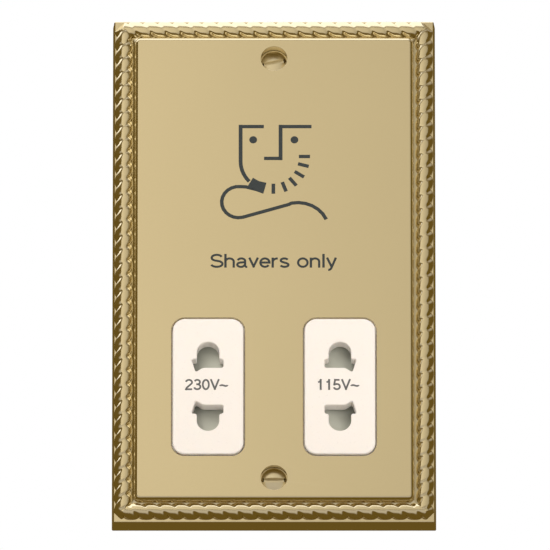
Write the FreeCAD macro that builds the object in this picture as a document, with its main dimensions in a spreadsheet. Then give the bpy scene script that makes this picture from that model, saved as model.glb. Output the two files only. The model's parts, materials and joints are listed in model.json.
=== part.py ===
import FreeCAD, Part
import math
import os

import Sketcher
from FreeCAD import Placement, Rotation, Vector

# A twin shaver socket for a wall box: a pressed brass faceplate with a roped border, white outlet
# faces with a sliding safety shutter behind them, and the isolating transformer in its housing.
# Millimetres. +X is right, +Z is up and +Y goes into the wall, whose surface is y = 0.
# The origin is midway between the two fixing screws.

os.makedirs("parts", exist_ok=True)
doc = FreeCAD.newDocument("shaver_socket")
sheet = doc.addObject("Spreadsheet::Sheet", "sizes")


# Sizes, kept in the spreadsheet


class Size:
    """A number that remembers the spreadsheet formula it comes from."""

    def __init__(self, value, formula):
        self.value = value
        self.formula = formula

    def __add__(self, other):
        other = as_size(other)
        return Size(self.value + other.value, f"({self.formula} + {other.formula})")

    def __radd__(self, other):
        return as_size(other) + self

    def __sub__(self, other):
        other = as_size(other)
        return Size(self.value - other.value, f"({self.formula} - {other.formula})")

    def __rsub__(self, other):
        return as_size(other) - self

    def __mul__(self, other):
        other = as_size(other)
        return Size(self.value * other.value, f"({self.formula} * {other.formula})")

    def __rmul__(self, other):
        return as_size(other) * self

    def __truediv__(self, other):
        other = as_size(other)
        return Size(self.value / other.value, f"({self.formula} / {other.formula})")

    def __neg__(self):
        return as_size(-1) * self


def as_size(number):
    if isinstance(number, Size):
        return number
    return Size(float(number), f"({number})")


def keep(row, alias, value):
    """Write one driving size into the sheet and return it with its formula."""
    sheet.set(f"A{row}", alias)
    sheet.set(f"B{row}", str(value))
    sheet.setAlias(f"B{row}", alias)
    return Size(float(value), f"sizes.{alias}")


# Faceplate: a drafted rim, the rope border on it and the raised panel inside the rope
plate_width = 86.0
plate_height = 145.0
fixing_centres = 120.6
rim_height = 4.85
rim_draft = 4.3
rim_edge = 0.5
rim_wall = 1.5
rim_floor = 1.4
ledge_width = 0.55
rope_half_width = 2.45
rope_rise = 1.65
rope_root = 0.3
strand_pitch = 3.95
strand_lean = 27.0
groove_depth = 0.4
shoulder_place = 0.22
shoulder_depth = 0.1
rope_facets = 8
corner_cut = 4.6
valley_width = 0.5
panel_height = 7.45
panel_edge = 1.0
panel_corner = 1.5
panel_wall = 2.0
sheet_metal = 1.2

# Sunk cups for the two fixing screws
cup_radius = 3.5
cup_depth_top = 3.2
cup_depth_bottom = 2.0
cup_seat = 1.4
cup_wall = 1.3
screw_hole_radius = 2.0
screw_radius = 1.75
screw_neck_radius = 1.5
screw_head_radius = 3.2
screw_head_cone = 1.3
screw_head_dome = 0.8
screw_slot_width = 1.0
screw_slot_depth = 1.1
screw_length = 25.0
screw_turn_top = 12.0
screw_turn_bottom = 0.0

# Outlets: cut-outs in the plate, white faces in them and the pin openings in the faces
outlet_offset = 17.5
outlet_drop = 34.3
cutout_width = 19.4
cutout_height = 39.5
cutout_corner = 3.6
face_gap = 0.3
face_proud = 0.4
face_edge = 0.6
slot_radius = 2.95
slot_start = 5.36
slot_end = 12.7
blade_reach = 4.05
blade_end = 7.8
slant_top = 4.4
slant_root = 1.4
slant_tip_side = 3.3
slant_tip_start = 4.1

# Front moulding and rear housing
lid_thickness = 2.0
lid_margin = 1.05
housing_top = 36.0
housing_wall = 2.0
housing_corner = 3.0
pillar_radius = 2.3
pillar_setback = 12.0
housing_screw_radius = 1.1
housing_screw_head = 1.9
housing_screw_length = 10.0
housing_screw_sink = 7.0
vent_width = 2.4
vent_length = 22.0
vent_pitch = 6.0
vent_count = 7

# Sliding shutter, its rails and its two centring springs
rest_gap = 0.3
shutter_thickness = 3.0
shutter_thin = 0.7
shutter_overlap = 0.5
shutter_travel = 9.0
rail_thickness = 1.5
rail_margin = 1.4
rail_to_bottom = 5.2
rib_thickness = 3.0
rib_height = 5.2
spring_radius = 2.0
spring_wire = 0.5
spring_turns = 5.0
spring_length = 14.0
spring_post = 2.0
seat_gap = 0.05

# Contact carrier and pin contacts
carrier_thickness = 2.0
window_margin = 0.4
contact_offset = 9.1
contact_width = 6.0
contact_strip = 0.5
contact_gap = 4.4
contact_length = 12.4
contact_flare = 0.9
contact_lip = 1.8
tail_width = 3.0
tail_offset = 4.2

# Circuit board, switches and plungers
board_thickness = 1.6
board_margin = 0.6
board_post_radius = 2.6
board_post_inset = 4.0
board_post_offset = 7.0
board_screw_radius = 1.2
board_screw_head = 2.2
board_screw_length = 6.0
switch_width = 9.0
switch_height = 7.6
switch_depth = 9.0
plunger_radius = 1.5
plunger_nose = 5.3
plunger_collar = 2.6
plunger_collar_length = 1.2
plunger_tail_radius = 1.2
plunger_engaged = 3.6
plunger_travel = 3.4
running_fit = 0.08

# Transformer on its clamp
core_stack = 24.0
core_clearance = 4.2
winding_clearance = 1.3
bobbin_wall = 1.0
bobbin_gap = 0.3
winding_margin = 0.6
clamp_metal = 0.8
clamp_width = 14.0
foot_reach = 6.6
foot_clearance = 1.4
foot_screw_radius = 1.5
foot_screw_head = 2.6
foot_screw_length = 6.0
shelf_thickness = 3.0
shelf_to_rail = 5.3
shelf_margin = 1.0
shelf_root = 0.5
winding_corner = 2.4
thermal_width = 13.0
thermal_height = 8.0
thermal_depth = 2.4
thermal_clearance = 1.75

# Terminal block above the housing and the earth tag on the top fixing
block_width = 33.0
block_height = 12.0
block_front = 6.0
block_back = 5.0
terminal_pitch = 10.0
terminal_radius = 3.2
terminal_hole_radius = 1.9
terminal_floor = 2.0
terminal_screw_radius = 1.6
terminal_screw_length = 5.0
tag_metal = 0.8
tag_radius = 4.2
tag_length = 7.0
tag_pin_width = 2.2
tag_pin_length = 6.0

# Each number named so far is a driving size and goes into the sheet under its own name
driving_sizes = {name: value for name, value in globals().items() if isinstance(value, (int, float))}
for row, (name, value) in enumerate(driving_sizes.items(), 1):
    globals()[name] = keep(row, name, value)

# Levels and places that follow from the sizes. Heights above the wall are negative in y
half_width = plate_width / 2
half_height = plate_height / 2
fixing_z = fixing_centres / 2
rope_radius = (rope_half_width * rope_half_width + rope_rise * rope_rise) / (2 * rope_rise)
rope_inset = ledge_width + rope_half_width
rope_axis_y = rope_radius - rope_rise - rim_height
panel_inset = rope_inset + rope_half_width + valley_width
panel_half_width = half_width - panel_inset
panel_half_height = half_height - panel_inset
hollow_half_width = panel_half_width - panel_wall
hollow_half_height = panel_half_height - panel_wall
panel_back_y = -(panel_height - sheet_metal)
face_y = -(panel_height + face_proud)
face_width = cutout_width - 2 * face_gap
face_height = cutout_height - 2 * face_gap
face_corner = cutout_corner - face_gap
lid_back_y = panel_back_y + lid_thickness
housing_half = hollow_half_width - lid_margin
inner_half = housing_half - housing_wall
shutter_front_y = lid_back_y + rest_gap
shutter_back_y = shutter_front_y + shutter_thickness
shutter_half_height = slot_end + shutter_overlap
shutter_reach = outlet_offset + slant_top + rest_gap
ramp_root = outlet_offset - blade_reach - shutter_overlap
rail_back_y = shutter_back_y + rest_gap
rail_start = shutter_half_height + rest_gap
rail_end = rail_start + rail_thickness
rail_reach = inner_half - 2 * pillar_radius - rail_margin
housing_bottom = outlet_drop + rail_end + rail_to_bottom
inner_top = housing_top - housing_wall
inner_bottom = -(housing_bottom - housing_wall)
pillar_x = inner_half - pillar_radius
pillar_top_z = inner_top - pillar_radius
pillar_bottom_z = inner_bottom + pillar_radius
carrier_back_y = rail_back_y + carrier_thickness
spring_y = carrier_back_y + rest_gap + spring_radius
rib_back_y = spring_y + spring_radius + rest_gap
spring_end = rib_thickness / 2 + seat_gap + spring_length
contact_front_y = carrier_back_y + rest_gap
contact_end_y = contact_front_y + contact_length

# The laminations have the usual proportions: legs and windows are a sixth of the width. The core
# fills the housing's width beside its clamp's feet, and its height between the shelves and the top
core_width = 2 * (inner_half - foot_clearance - foot_reach)
core_leg = core_width / 6
window_width = core_width / 6
core_bottom = rail_end + shelf_to_rail + shelf_thickness - outlet_drop
core_top = inner_top - core_clearance - clamp_metal
core_height = core_top - core_bottom
core_window = core_height - 2 * core_leg
flange_half_x = core_leg + window_width - bobbin_gap
flange_half_y = core_stack / 2 + window_width - bobbin_gap
winding_half_x = flange_half_x - winding_margin
winding_half_y = flange_half_y - winding_margin
winding_front_y = lid_back_y + thermal_clearance + thermal_depth
core_middle = winding_front_y + winding_half_y
stack_front_y = core_middle - core_stack / 2
stack_back_y = core_middle + core_stack / 2

# The housing is as deep as the windings need, and the board and the screws keep to its back
inner_back_y = core_middle + flange_half_y + winding_clearance
housing_depth = inner_back_y + housing_wall
pillar_joint = housing_depth - pillar_setback
board_back_y = pillar_joint + board_thickness
switch_front_y = pillar_joint - switch_depth
tube_half_x = core_leg + bobbin_gap + bobbin_wall
tube_half_y = core_stack / 2 + bobbin_gap + bobbin_wall
bobbin_bottom = core_bottom + core_leg + bobbin_gap
bobbin_top = core_top - core_leg - bobbin_gap
bobbin_centre = (bobbin_bottom + bobbin_top) / 2
block_bottom = housing_top
block_top = block_bottom + block_height
terminal_y = (block_back - block_front) / 2
tag_y = -(panel_height - cup_depth_top - cup_seat - cup_wall)


# Helpers


def bind(item, path, amount):
    item.setExpression(path, as_size(amount).formula)


def place(item, x, y, z, turn=None):
    """Put an object at x, y, z with its place bound to the sheet."""
    item.Placement = Placement(Vector(0, 0, 0), turn or Rotation())
    bind(item, "Placement.Base.x", x)
    bind(item, "Placement.Base.y", y)
    bind(item, "Placement.Base.z", z)


def box(name, x_range, y_range, z_range):
    item = doc.addObject("Part::Box", name)
    bind(item, "Length", x_range[1] - x_range[0])
    bind(item, "Width", y_range[1] - y_range[0])
    bind(item, "Height", z_range[1] - z_range[0])
    place(item, x_range[0], y_range[0], z_range[0])
    return item


AXIS_TURNS = {
    "x": Rotation(Vector(0, 1, 0), 90),
    "y": Rotation(Vector(1, 0, 0), -90),
    "z": Rotation(),
}


def rod(name, axis, start, length, radius):
    """A cylinder from start along +axis."""
    item = doc.addObject("Part::Cylinder", name)
    bind(item, "Radius", radius)
    bind(item, "Height", length)
    place(item, *start, AXIS_TURNS[axis])
    return item


def fuse(name, items):
    item = doc.addObject("Part::MultiFuse", name)
    item.Shapes = items
    item.Refine = True
    return item


def cut(name, base, tools):
    tool = tools[0] if len(tools) == 1 else fuse(name + "_tools", tools)
    item = doc.addObject("Part::Cut", name)
    item.Base = base
    item.Tool = tool
    item.Refine = True
    return item


def group(name, items):
    """Several separate solids in one node."""
    item = doc.addObject("Part::Compound", name)
    item.Links = items
    return item


def body(name):
    return doc.addObject("PartDesign::Body", name)


def sketch_on(owner, name, plane, offset=0):
    """A sketch on one of the body's own origin planes, moved along the plane's normal."""
    sketch = owner.newObject("Sketcher::SketchObject", name)
    origin_plane = [item for item in owner.Origin.OriginFeatures if item.Role == plane][0]
    sketch.AttachmentSupport = [(origin_plane, "")]
    sketch.MapMode = "FlatFace"
    bind(sketch, "AttachmentOffset.Base.z", offset)
    return sketch


def tie(sketch, geometry, point, x, y):
    """Tie a sketch point to the sketch's origin by two formulas."""
    for kind, amount in (("DistanceX", x), ("DistanceY", y)):
        amount = as_size(amount)
        constraint = Sketcher.Constraint(kind, -1, 1, geometry, point, amount.value)
        number = sketch.addConstraint(constraint)
        sketch.setExpression(f"Constraints[{number}]", amount.formula)


def outline(sketch, corners, domes=None):
    """A closed outline through the corners, straight but for the arcs that domes gives.

    domes holds, for the number of an arc's first corner, the arc's centre. Such an arc turns
    anticlockwise about it.
    """
    domes = domes or {}
    first = sketch.GeometryCount
    points = [Vector(as_size(x).value, as_size(y).value, 0) for x, y in corners]
    count = len(points)
    for index in range(count):
        start, end = points[index], points[(index + 1) % count]
        if index in domes:
            centre = Vector(*[as_size(amount).value for amount in domes[index]], 0)
            arms = [start - centre, end - centre]
            angles = [math.atan2(arm.y, arm.x) for arm in arms]
            ring = Part.Circle(centre, Vector(0, 0, 1), arms[0].Length)
            sketch.addGeometry(Part.ArcOfCircle(ring, *angles), False)
        else:
            sketch.addGeometry(Part.LineSegment(start, end), False)
    for index in range(count):
        following = first + (index + 1) % count
        sketch.addConstraint(Sketcher.Constraint("Coincident", first + index, 2, following, 1))
    for index, (x, y) in enumerate(corners):
        tie(sketch, first + index, 1, x, y)
    for index, (x, y) in domes.items():
        amount = as_size(x)
        centred = Sketcher.Constraint("DistanceX", -1, 1, first + index, 3, amount.value)
        sketch.setExpression(f"Constraints[{sketch.addConstraint(centred)}]", amount.formula)


def rectangle(sketch, x, y, half_x, half_y):
    """A rectangle about the centre x, y."""
    left, right = x - half_x, x + half_x
    low, high = y - half_y, y + half_y
    outline(sketch, [(left, low), (right, low), (right, high), (left, high)])


def circle(sketch, x, y, radius):
    centre = Vector(as_size(x).value, as_size(y).value, 0)
    number = sketch.addGeometry(Part.Circle(centre, Vector(0, 0, 1), radius.value), False)
    tie(sketch, number, 3, x, y)
    constraint = sketch.addConstraint(Sketcher.Constraint("Radius", number, radius.value))
    sketch.setExpression(f"Constraints[{constraint}]", radius.formula)


def pad(owner, name, sketch, length, reverse=False):
    feature = owner.newObject("PartDesign::Pad", name)
    feature.Profile = sketch
    feature.Reversed = reverse
    bind(feature, "Length", length)
    return feature


def pocket(owner, name, sketch, length, reverse=False):
    feature = owner.newObject("PartDesign::Pocket", name)
    feature.Profile = sketch
    feature.Reversed = reverse
    bind(feature, "Length", length)
    return feature


def dress(owner, name, kind, radius_property, base, radius, choose):
    """Round or chamfer the edges of the base feature that choose picks."""
    doc.recompute()
    edges = [
        f"Edge{number}"
        for number, edge in enumerate(base.Shape.Edges, 1)
        if choose(edge)
    ]
    feature = owner.newObject(kind, name)
    feature.Base = (base, edges)
    bind(feature, radius_property, radius)
    return feature


def fillet(owner, name, base, radius, choose):
    return dress(owner, name, "PartDesign::Fillet", "Radius", base, radius, choose)


def chamfer(owner, name, base, size, choose):
    return dress(owner, name, "PartDesign::Chamfer", "Size", base, size, choose)


def is_along_y(edge):
    if edge.Curve.TypeId != "Part::GeomLine":
        return False
    return abs(abs(edge.Curve.Direction.y) - 1) < 1e-6


def lies_at_y(edge, y):
    bounds = edge.BoundBox
    return abs(bounds.YMin - y.value) < 1e-4 and abs(bounds.YMax - y.value) < 1e-4


def near(value, target):
    return abs(value - target) < 1e-3


# Faceplate


def plate_blank():
    """The pressed plate before its rope: rim, raised panel, hollow back and screw cups."""
    owner = body("plate_blank")
    rim_sketch = sketch_on(owner, "rim_outline", "XZ_Plane")
    rectangle(rim_sketch, 0, 0, half_width, half_height)
    rim = pad(owner, "rim", rim_sketch, rim_height)
    bind(rim, "TaperAngle", -rim_draft)
    fillet(owner, "rim_rounding", rim, rim_edge, lambda edge: lies_at_y(edge, -rim_height))

    panel_sketch = sketch_on(owner, "panel_outline", "XZ_Plane")
    rectangle(panel_sketch, 0, 0, panel_half_width, panel_half_height)
    panel = pad(owner, "panel", panel_sketch, panel_height)
    corners = fillet(
        owner,
        "panel_corners",
        panel,
        panel_corner,
        lambda edge: is_along_y(edge) and near(abs(edge.BoundBox.XMin), panel_half_width.value),
    )
    fillet(
        owner,
        "panel_rounding",
        corners,
        panel_edge,
        lambda edge: lies_at_y(edge, -panel_height),
    )

    rim_hollow_sketch = sketch_on(owner, "rim_hollow_outline", "XZ_Plane")
    rectangle(rim_hollow_sketch, 0, 0, half_width - rim_wall, half_height - rim_wall)
    pocket(owner, "rim_hollow", rim_hollow_sketch, rim_height - rim_floor, reverse=True)

    hollow_sketch = sketch_on(owner, "panel_hollow_outline", "XZ_Plane")
    rectangle(hollow_sketch, 0, 0, hollow_half_width, hollow_half_height)
    pocket(owner, "panel_hollow", hollow_sketch, panel_height - sheet_metal, reverse=True)

    cutout_sketch = sketch_on(owner, "cutout_outline", "XZ_Plane")
    for side in (-1, 1):
        rectangle(
            cutout_sketch, side * outlet_offset, -outlet_drop, cutout_width / 2, cutout_height / 2
        )
    cutouts = pocket(owner, "cutouts", cutout_sketch, panel_height, reverse=True)
    cutout_sides = [outlet_offset.value + side * cutout_width.value / 2 for side in (-1, 1)]
    last = fillet(
        owner,
        "cutout_corners",
        cutouts,
        cutout_corner,
        lambda edge: is_along_y(edge)
        and any(near(abs(edge.BoundBox.XMin), side) for side in cutout_sides),
    )

    for name, z, depth in (
        ("top", fixing_z, cup_depth_top),
        ("bottom", -fixing_z, cup_depth_bottom),
    ):
        cup_floor = panel_height - depth
        cup_back = cup_floor - cup_seat - cup_wall
        boss_sketch = sketch_on(owner, name + "_boss_outline", "XZ_Plane", cup_back)
        circle(boss_sketch, 0, z, cup_radius + cup_wall)
        pad(owner, name + "_boss", boss_sketch, panel_height - panel_edge - cup_back)
        cup_sketch = sketch_on(owner, name + "_cup_outline", "XZ_Plane", cup_floor)
        circle(cup_sketch, 0, z, cup_radius)
        pocket(owner, name + "_cup", cup_sketch, depth + 1, reverse=True)
        hole_sketch = sketch_on(owner, name + "_hole_outline", "XZ_Plane", cup_back)
        circle(hole_sketch, 0, z, screw_hole_radius)
        hole = pocket(owner, name + "_hole", hole_sketch, depth + cup_seat + cup_wall, reverse=True)
        last = chamfer(
            owner,
            name + "_seat",
            hole,
            cup_seat,
            lambda edge: lies_at_y(edge, -cup_floor)
            and near(edge.BoundBox.XLength, 2 * screw_hole_radius.value)
            and near(edge.BoundBox.Center.z, z.value),
        )
    owner.Tip = last
    return owner


def rope_section(centre, inward, scale):
    """One slanting section of the half-round bead, with straight sides down to its root."""
    across = rope_radius.value / math.cos(math.radians(strand_lean.value))
    slant = math.tan(math.radians(strand_lean.value))
    direction = Vector(inward.z, 0, -inward.x)
    sideways = (inward + direction * slant) * math.cos(math.radians(strand_lean.value))
    facets = int(rope_facets.value)
    places = [(-across * scale, -rope_root.value)]
    for step in range(facets + 1):
        angle = math.pi * (1 - step / facets)
        places.append((across * scale * math.cos(angle), rope_radius.value * scale * math.sin(angle)))
    places.append((across * scale, -rope_root.value))
    return [centre + sideways * side - Vector(0, rise, 0) for side, rise in places]


def rope_side(side_length, other_half, direction, inward):
    """One side of the border: a half-round bead swelling at each strand, mitred at both ends."""
    middle = inward * -other_half + Vector(0, rope_axis_y.value, 0)
    groove = 1 - groove_depth.value / rope_radius.value
    shoulder = 1 - shoulder_depth.value / rope_radius.value
    early = shoulder_place.value
    swell = [(0, groove), (early, shoulder), (1 / 2, 1), (1 - early, shoulder)]
    count = int(side_length / strand_pitch.value / 2) + 2
    sections = []
    for strand in range(-count, count):
        for share, scale in swell:
            place_along = (strand + share) * strand_pitch.value
            sections.append(rope_section(middle + direction * place_along, inward, scale))
    faces = [Part.Face(Part.makePolygon(ring + ring[:1])) for ring in (sections[0], sections[-1])]
    for ring, following in zip(sections, sections[1:]):
        for index in range(len(ring)):
            beside = (index + 1) % len(ring)
            corners = [ring[index], ring[beside], following[beside], following[index]]
            faces.append(Part.Face(Part.makePolygon(corners + corners[:1])))
    rope = Part.Solid(Part.Shell(faces))
    if rope.Volume < 0:
        rope.reverse()

    # The mitre has its outer corners cut off, which leaves the flat triangle of the rim bare
    reach = 2 * rope_radius.value
    cut_inset = corner_cut.value / 2 - rope_inset.value
    outline_steps = [
        (-reach, side_length / 2 + rope_inset.value - corner_cut.value - (reach - rope_inset.value)),
        (cut_inset, side_length / 2 - cut_inset),
        (reach, side_length / 2 - reach),
    ]
    corners = [middle + inward * across + direction * along for across, along in outline_steps]
    corners += [middle + inward * across - direction * along for across, along in outline_steps[::-1]]
    floor = rope_axis_y.value + rope_root.value
    corners = [Vector(corner.x, floor, corner.z) for corner in corners]
    mitre = Part.Face(Part.makePolygon(corners + corners[:1])).extrude(Vector(0, -reach, 0))
    return rope.common(mitre)


def rope_border():
    """All four sides of the rope as one shape, each laid from the sheet's values."""
    rope_half_width = (half_width - rope_inset).value
    rope_half_height = (half_height - rope_inset).value
    sides = [
        rope_side(2 * rope_half_width, rope_half_height, Vector(1, 0, 0), Vector(0, 0, -1)),
        rope_side(2 * rope_half_height, rope_half_width, Vector(0, 0, -1), Vector(-1, 0, 0)),
        rope_side(2 * rope_half_width, rope_half_height, Vector(-1, 0, 0), Vector(0, 0, 1)),
        rope_side(2 * rope_half_height, rope_half_width, Vector(0, 0, 1), Vector(1, 0, 0)),
    ]
    item = doc.addObject("Part::Feature", "rope_border")
    item.Shape = sides[0].multiFuse(sides[1:])
    item.Placement = Placement()
    return item


def faceplate():
    plate = fuse("faceplate", [plate_blank(), rope_border()])
    plate.Refine = False
    return plate


def fixing_screw(name, z, depth, turn):
    """A raised countersunk slotted screw: head in the cup's cone, plain neck, then the thread."""
    sink = screw_hole_radius + cup_seat - screw_head_radius
    head_top = depth + sink - seat_gap - panel_height
    head_end = head_top + screw_head_cone
    dome_top = head_top - screw_head_dome
    dome_radius = screw_head_radius * screw_head_radius / (2 * screw_head_dome) + screw_head_dome / 2
    owner = body(name)
    profile = sketch_on(owner, name + "_profile", "XY_Plane")
    outline(
        profile,
        [
            (0, dome_top),
            (screw_head_radius, head_top),
            (screw_neck_radius, head_end),
            (screw_neck_radius, -rest_gap),
            (screw_radius, -rest_gap),
            (screw_radius, head_end + screw_length),
            (0, head_end + screw_length),
        ],
        {0: (0, dome_top + dome_radius)},
    )
    turned = owner.newObject("PartDesign::Revolution", name + "_turned")
    turned.Profile = profile
    turned.ReferenceAxis = (profile, ["V_Axis"])
    turned.Angle = 360
    slot_sketch = sketch_on(owner, name + "_slot_outline", "XZ_Plane", -dome_top - screw_slot_depth)
    rectangle(slot_sketch, 0, 0, screw_head_radius, screw_slot_width / 2)
    owner.Tip = pocket(owner, name + "_slot", slot_sketch, 2 * screw_slot_depth, reverse=True)
    place(owner, 0, 0, z, Rotation(Vector(0, -1, 0), turn.value))
    return owner


# Front moulding


def aperture_corners(side, row):
    """The flat-blade part of one pin opening, with its slanting wing on the outer side."""
    x = side * outlet_offset
    z = -outlet_drop
    return [
        (x + side * slot_radius, z + row * (slot_end - slot_radius)),
        (x + side * slot_radius, z + row * blade_end),
        (x + side * slant_top, z + row * blade_end),
        (x + side * slant_tip_side, z + row * slant_tip_start),
        (x + side * slant_root, z + row * slot_start),
        (x - side * blade_reach, z + row * slot_start),
        (x - side * blade_reach, z + row * blade_end),
        (x - side * slot_radius, z + row * blade_end),
        (x - side * slot_radius, z + row * (slot_end - slot_radius)),
    ]


def front_moulding():
    """The white moulding: a lid behind the plate, the two outlet faces, rails and pillars."""
    owner = body("front_moulding")
    lid_sketch = sketch_on(owner, "lid_outline", "XZ_Plane", -lid_back_y)
    middle_z = (housing_top - housing_bottom) / 2
    half_z = (housing_top + housing_bottom) / 2
    rectangle(lid_sketch, 0, middle_z, housing_half, half_z)
    lid = pad(owner, "lid", lid_sketch, lid_thickness)
    fillet(owner, "lid_corners", lid, housing_corner, is_along_y)

    face_sketch = sketch_on(owner, "face_outline", "XZ_Plane", -panel_back_y)
    for side in (-1, 1):
        rectangle(face_sketch, side * outlet_offset, -outlet_drop, face_width / 2, face_height / 2)
    faces = pad(owner, "faces", face_sketch, panel_back_y - face_y)
    face_sides = [outlet_offset.value + side * face_width.value / 2 for side in (-1, 1)]
    rounded = fillet(
        owner,
        "face_corners",
        faces,
        face_corner,
        lambda edge: is_along_y(edge)
        and any(near(abs(edge.BoundBox.XMin), side) for side in face_sides),
    )
    fillet(owner, "face_edges", rounded, face_edge, lambda edge: lies_at_y(edge, face_y))

    rail_sketch = sketch_on(owner, "rail_outline", "XZ_Plane", -rail_back_y)
    for row in (-1, 1):
        rectangle(
            rail_sketch,
            0,
            row * (rail_start + rail_thickness / 2) - outlet_drop,
            rail_reach,
            rail_thickness / 2,
        )
    pad(owner, "rails", rail_sketch, rail_back_y - lid_back_y)

    pillar_sketch = sketch_on(owner, "pillar_outline", "XZ_Plane", -pillar_joint)
    pillar_places = [(side * pillar_x, z) for side in (-1, 1) for z in (pillar_bottom_z, pillar_top_z)]
    for x, z in pillar_places:
        circle(pillar_sketch, x, z, pillar_radius)
    pad(owner, "pillars", pillar_sketch, pillar_joint - lid_back_y)

    pilot_sketch = sketch_on(owner, "pilot_outline", "XZ_Plane", -pillar_joint)
    for x, z in pillar_places:
        circle(pilot_sketch, x, z, housing_screw_radius)
    pocket(owner, "pilots", pilot_sketch, housing_screw_length, reverse=True)

    blade_sketch = sketch_on(owner, "blade_outline", "XZ_Plane", -lid_back_y)
    round_sketch = sketch_on(owner, "round_outline", "XZ_Plane", -lid_back_y)
    for side in (-1, 1):
        for row in (-1, 1):
            outline(blade_sketch, aperture_corners(side, row))
            end = row * (slot_end - slot_radius) - outlet_drop
            circle(round_sketch, side * outlet_offset, end, slot_radius)
    opening_depth = lid_back_y - face_y
    pocket(owner, "blade_openings", blade_sketch, opening_depth, reverse=True)
    last = pocket(owner, "round_openings", round_sketch, opening_depth, reverse=True)
    owner.Tip = last
    return owner


# Shutter


def shutter_bar():
    """One bar that covers both outlets; a plug in either pushes its ramp and slides the bar clear."""
    owner = body("shutter_bar")
    profile = sketch_on(owner, "shutter_profile", "XY_Plane", -outlet_drop - shutter_half_height)
    outline(
        profile,
        [
            (-shutter_reach, shutter_back_y),
            (shutter_reach, shutter_back_y),
            (shutter_reach, shutter_back_y - shutter_thin),
            (ramp_root, shutter_front_y),
            (-ramp_root, shutter_front_y),
            (-shutter_reach, shutter_back_y - shutter_thin),
        ],
    )
    pad(owner, "bar", profile, 2 * shutter_half_height)
    rib_sketch = sketch_on(owner, "rib_outline", "XZ_Plane", -rib_back_y)
    rectangle(rib_sketch, 0, -outlet_drop, rib_thickness / 2, rib_height / 2)
    rib = pad(owner, "rib", rib_sketch, rib_back_y - shutter_back_y)
    owner.Tip = rib
    return owner


def shutter_spring(name, side):
    """A coil spring between the bar's rib and a post on the carrier."""
    owner = body(name)
    sketch = sketch_on(owner, name + "_wire", "XY_Plane")
    centre_x = spring_radius - spring_wire / 2
    rectangle(sketch, centre_x, spring_wire / 2, spring_wire / 2, spring_wire / 2)
    helix = owner.newObject("PartDesign::AdditiveHelix", name + "_coil")
    helix.Profile = sketch
    helix.ReferenceAxis = (sketch, ["V_Axis"])
    helix.Mode = "height-turns-angle"
    bind(helix, "Turns", spring_turns)
    bind(helix, "Height", spring_length - spring_wire)
    owner.Tip = helix
    start = rib_thickness / 2 + seat_gap
    place(owner, side * start, spring_y, -outlet_drop, Rotation(Vector(0, 0, 1), -90 * side))
    return owner


# Contacts and their carrier


def contact_carrier():
    """The plate behind the shutter: pin windows, the rib's slot and the spring posts."""
    owner = body("contact_carrier")
    plate_sketch = sketch_on(owner, "carrier_outline", "XZ_Plane", -carrier_back_y)
    rectangle(plate_sketch, 0, -outlet_drop, rail_reach, rail_end)
    pad(owner, "carrier_plate", plate_sketch, carrier_thickness)
    post_sketch = sketch_on(owner, "post_outline", "XZ_Plane", -rib_back_y)
    for side in (-1, 1):
        rectangle(
            post_sketch,
            side * (spring_end + seat_gap + spring_post / 2),
            -outlet_drop,
            spring_post / 2,
            rib_height / 2,
        )
    pad(owner, "spring_posts", post_sketch, rib_back_y - carrier_back_y + seat_gap)
    window_sketch = sketch_on(owner, "window_outline", "XZ_Plane", -carrier_back_y)
    window_low = slant_tip_start - window_margin
    window_high = slot_end + window_margin
    for side in (-1, 1):
        for row in (-1, 1):
            rectangle(
                window_sketch,
                side * outlet_offset,
                row * (window_low + window_high) / 2 - outlet_drop,
                slant_top + window_margin,
                (window_high - window_low) / 2,
            )
    pocket(owner, "pin_windows", window_sketch, carrier_thickness, reverse=True)
    slot_sketch = sketch_on(owner, "rib_slot_outline", "XZ_Plane", -carrier_back_y)
    rectangle(
        slot_sketch,
        0,
        -outlet_drop,
        rib_thickness / 2 + shutter_travel + rest_gap,
        rib_height / 2 + rest_gap,
    )
    last = pocket(owner, "rib_slot", slot_sketch, carrier_thickness, reverse=True)
    owner.Tip = last
    return owner


def pin_contact(name, side, row):
    """A folded spring strip that grips one pin, with a tail soldered to the board."""
    x = side * outlet_offset
    z = -outlet_drop + row * contact_offset
    inside = contact_gap / 2
    outside = inside + contact_strip
    lip_y = contact_front_y + contact_lip
    half = contact_width / 2
    owner = body(name)
    sketch = sketch_on(owner, name + "_profile", "XY_Plane", z - half)
    outline(
        sketch,
        [
            (x - outside - contact_flare, contact_front_y),
            (x - inside - contact_flare, contact_front_y),
            (x - inside, lip_y),
            (x - inside, contact_end_y - contact_strip),
            (x + inside, contact_end_y - contact_strip),
            (x + inside, lip_y),
            (x + inside + contact_flare, contact_front_y),
            (x + outside + contact_flare, contact_front_y),
            (x + outside, lip_y),
            (x + outside, contact_end_y),
            (x - outside, contact_end_y),
            (x - outside, lip_y),
        ],
    )
    pad(owner, name + "_clip", sketch, contact_width)
    tail_z = -outlet_drop + row * tail_offset
    tab_sketch = sketch_on(owner, name + "_tab_outline", "XZ_Plane", -contact_end_y)
    tab_far = z - row * (half - contact_strip)
    tab_near = tail_z - row * contact_strip / 2
    rectangle(
        tab_sketch, x, (tab_far + tab_near) / 2, tail_width / 2, row * (tab_far - tab_near) / 2
    )
    pad(owner, name + "_tab", tab_sketch, contact_strip)
    tail_sketch = sketch_on(owner, name + "_tail_outline", "XZ_Plane", -pillar_joint)
    rectangle(tail_sketch, x, tail_z, tail_width / 2, contact_strip / 2)
    last = pad(owner, name + "_tail", tail_sketch, pillar_joint - contact_end_y + contact_strip)
    if row < 0:
        hole_sketch = sketch_on(owner, name + "_hole_outline", "XZ_Plane", -contact_end_y)
        circle(hole_sketch, x, z, plunger_radius + rest_gap)
        last = pocket(owner, name + "_hole", hole_sketch, contact_strip, reverse=True)
    owner.Tip = last
    return owner


# Switches


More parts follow.
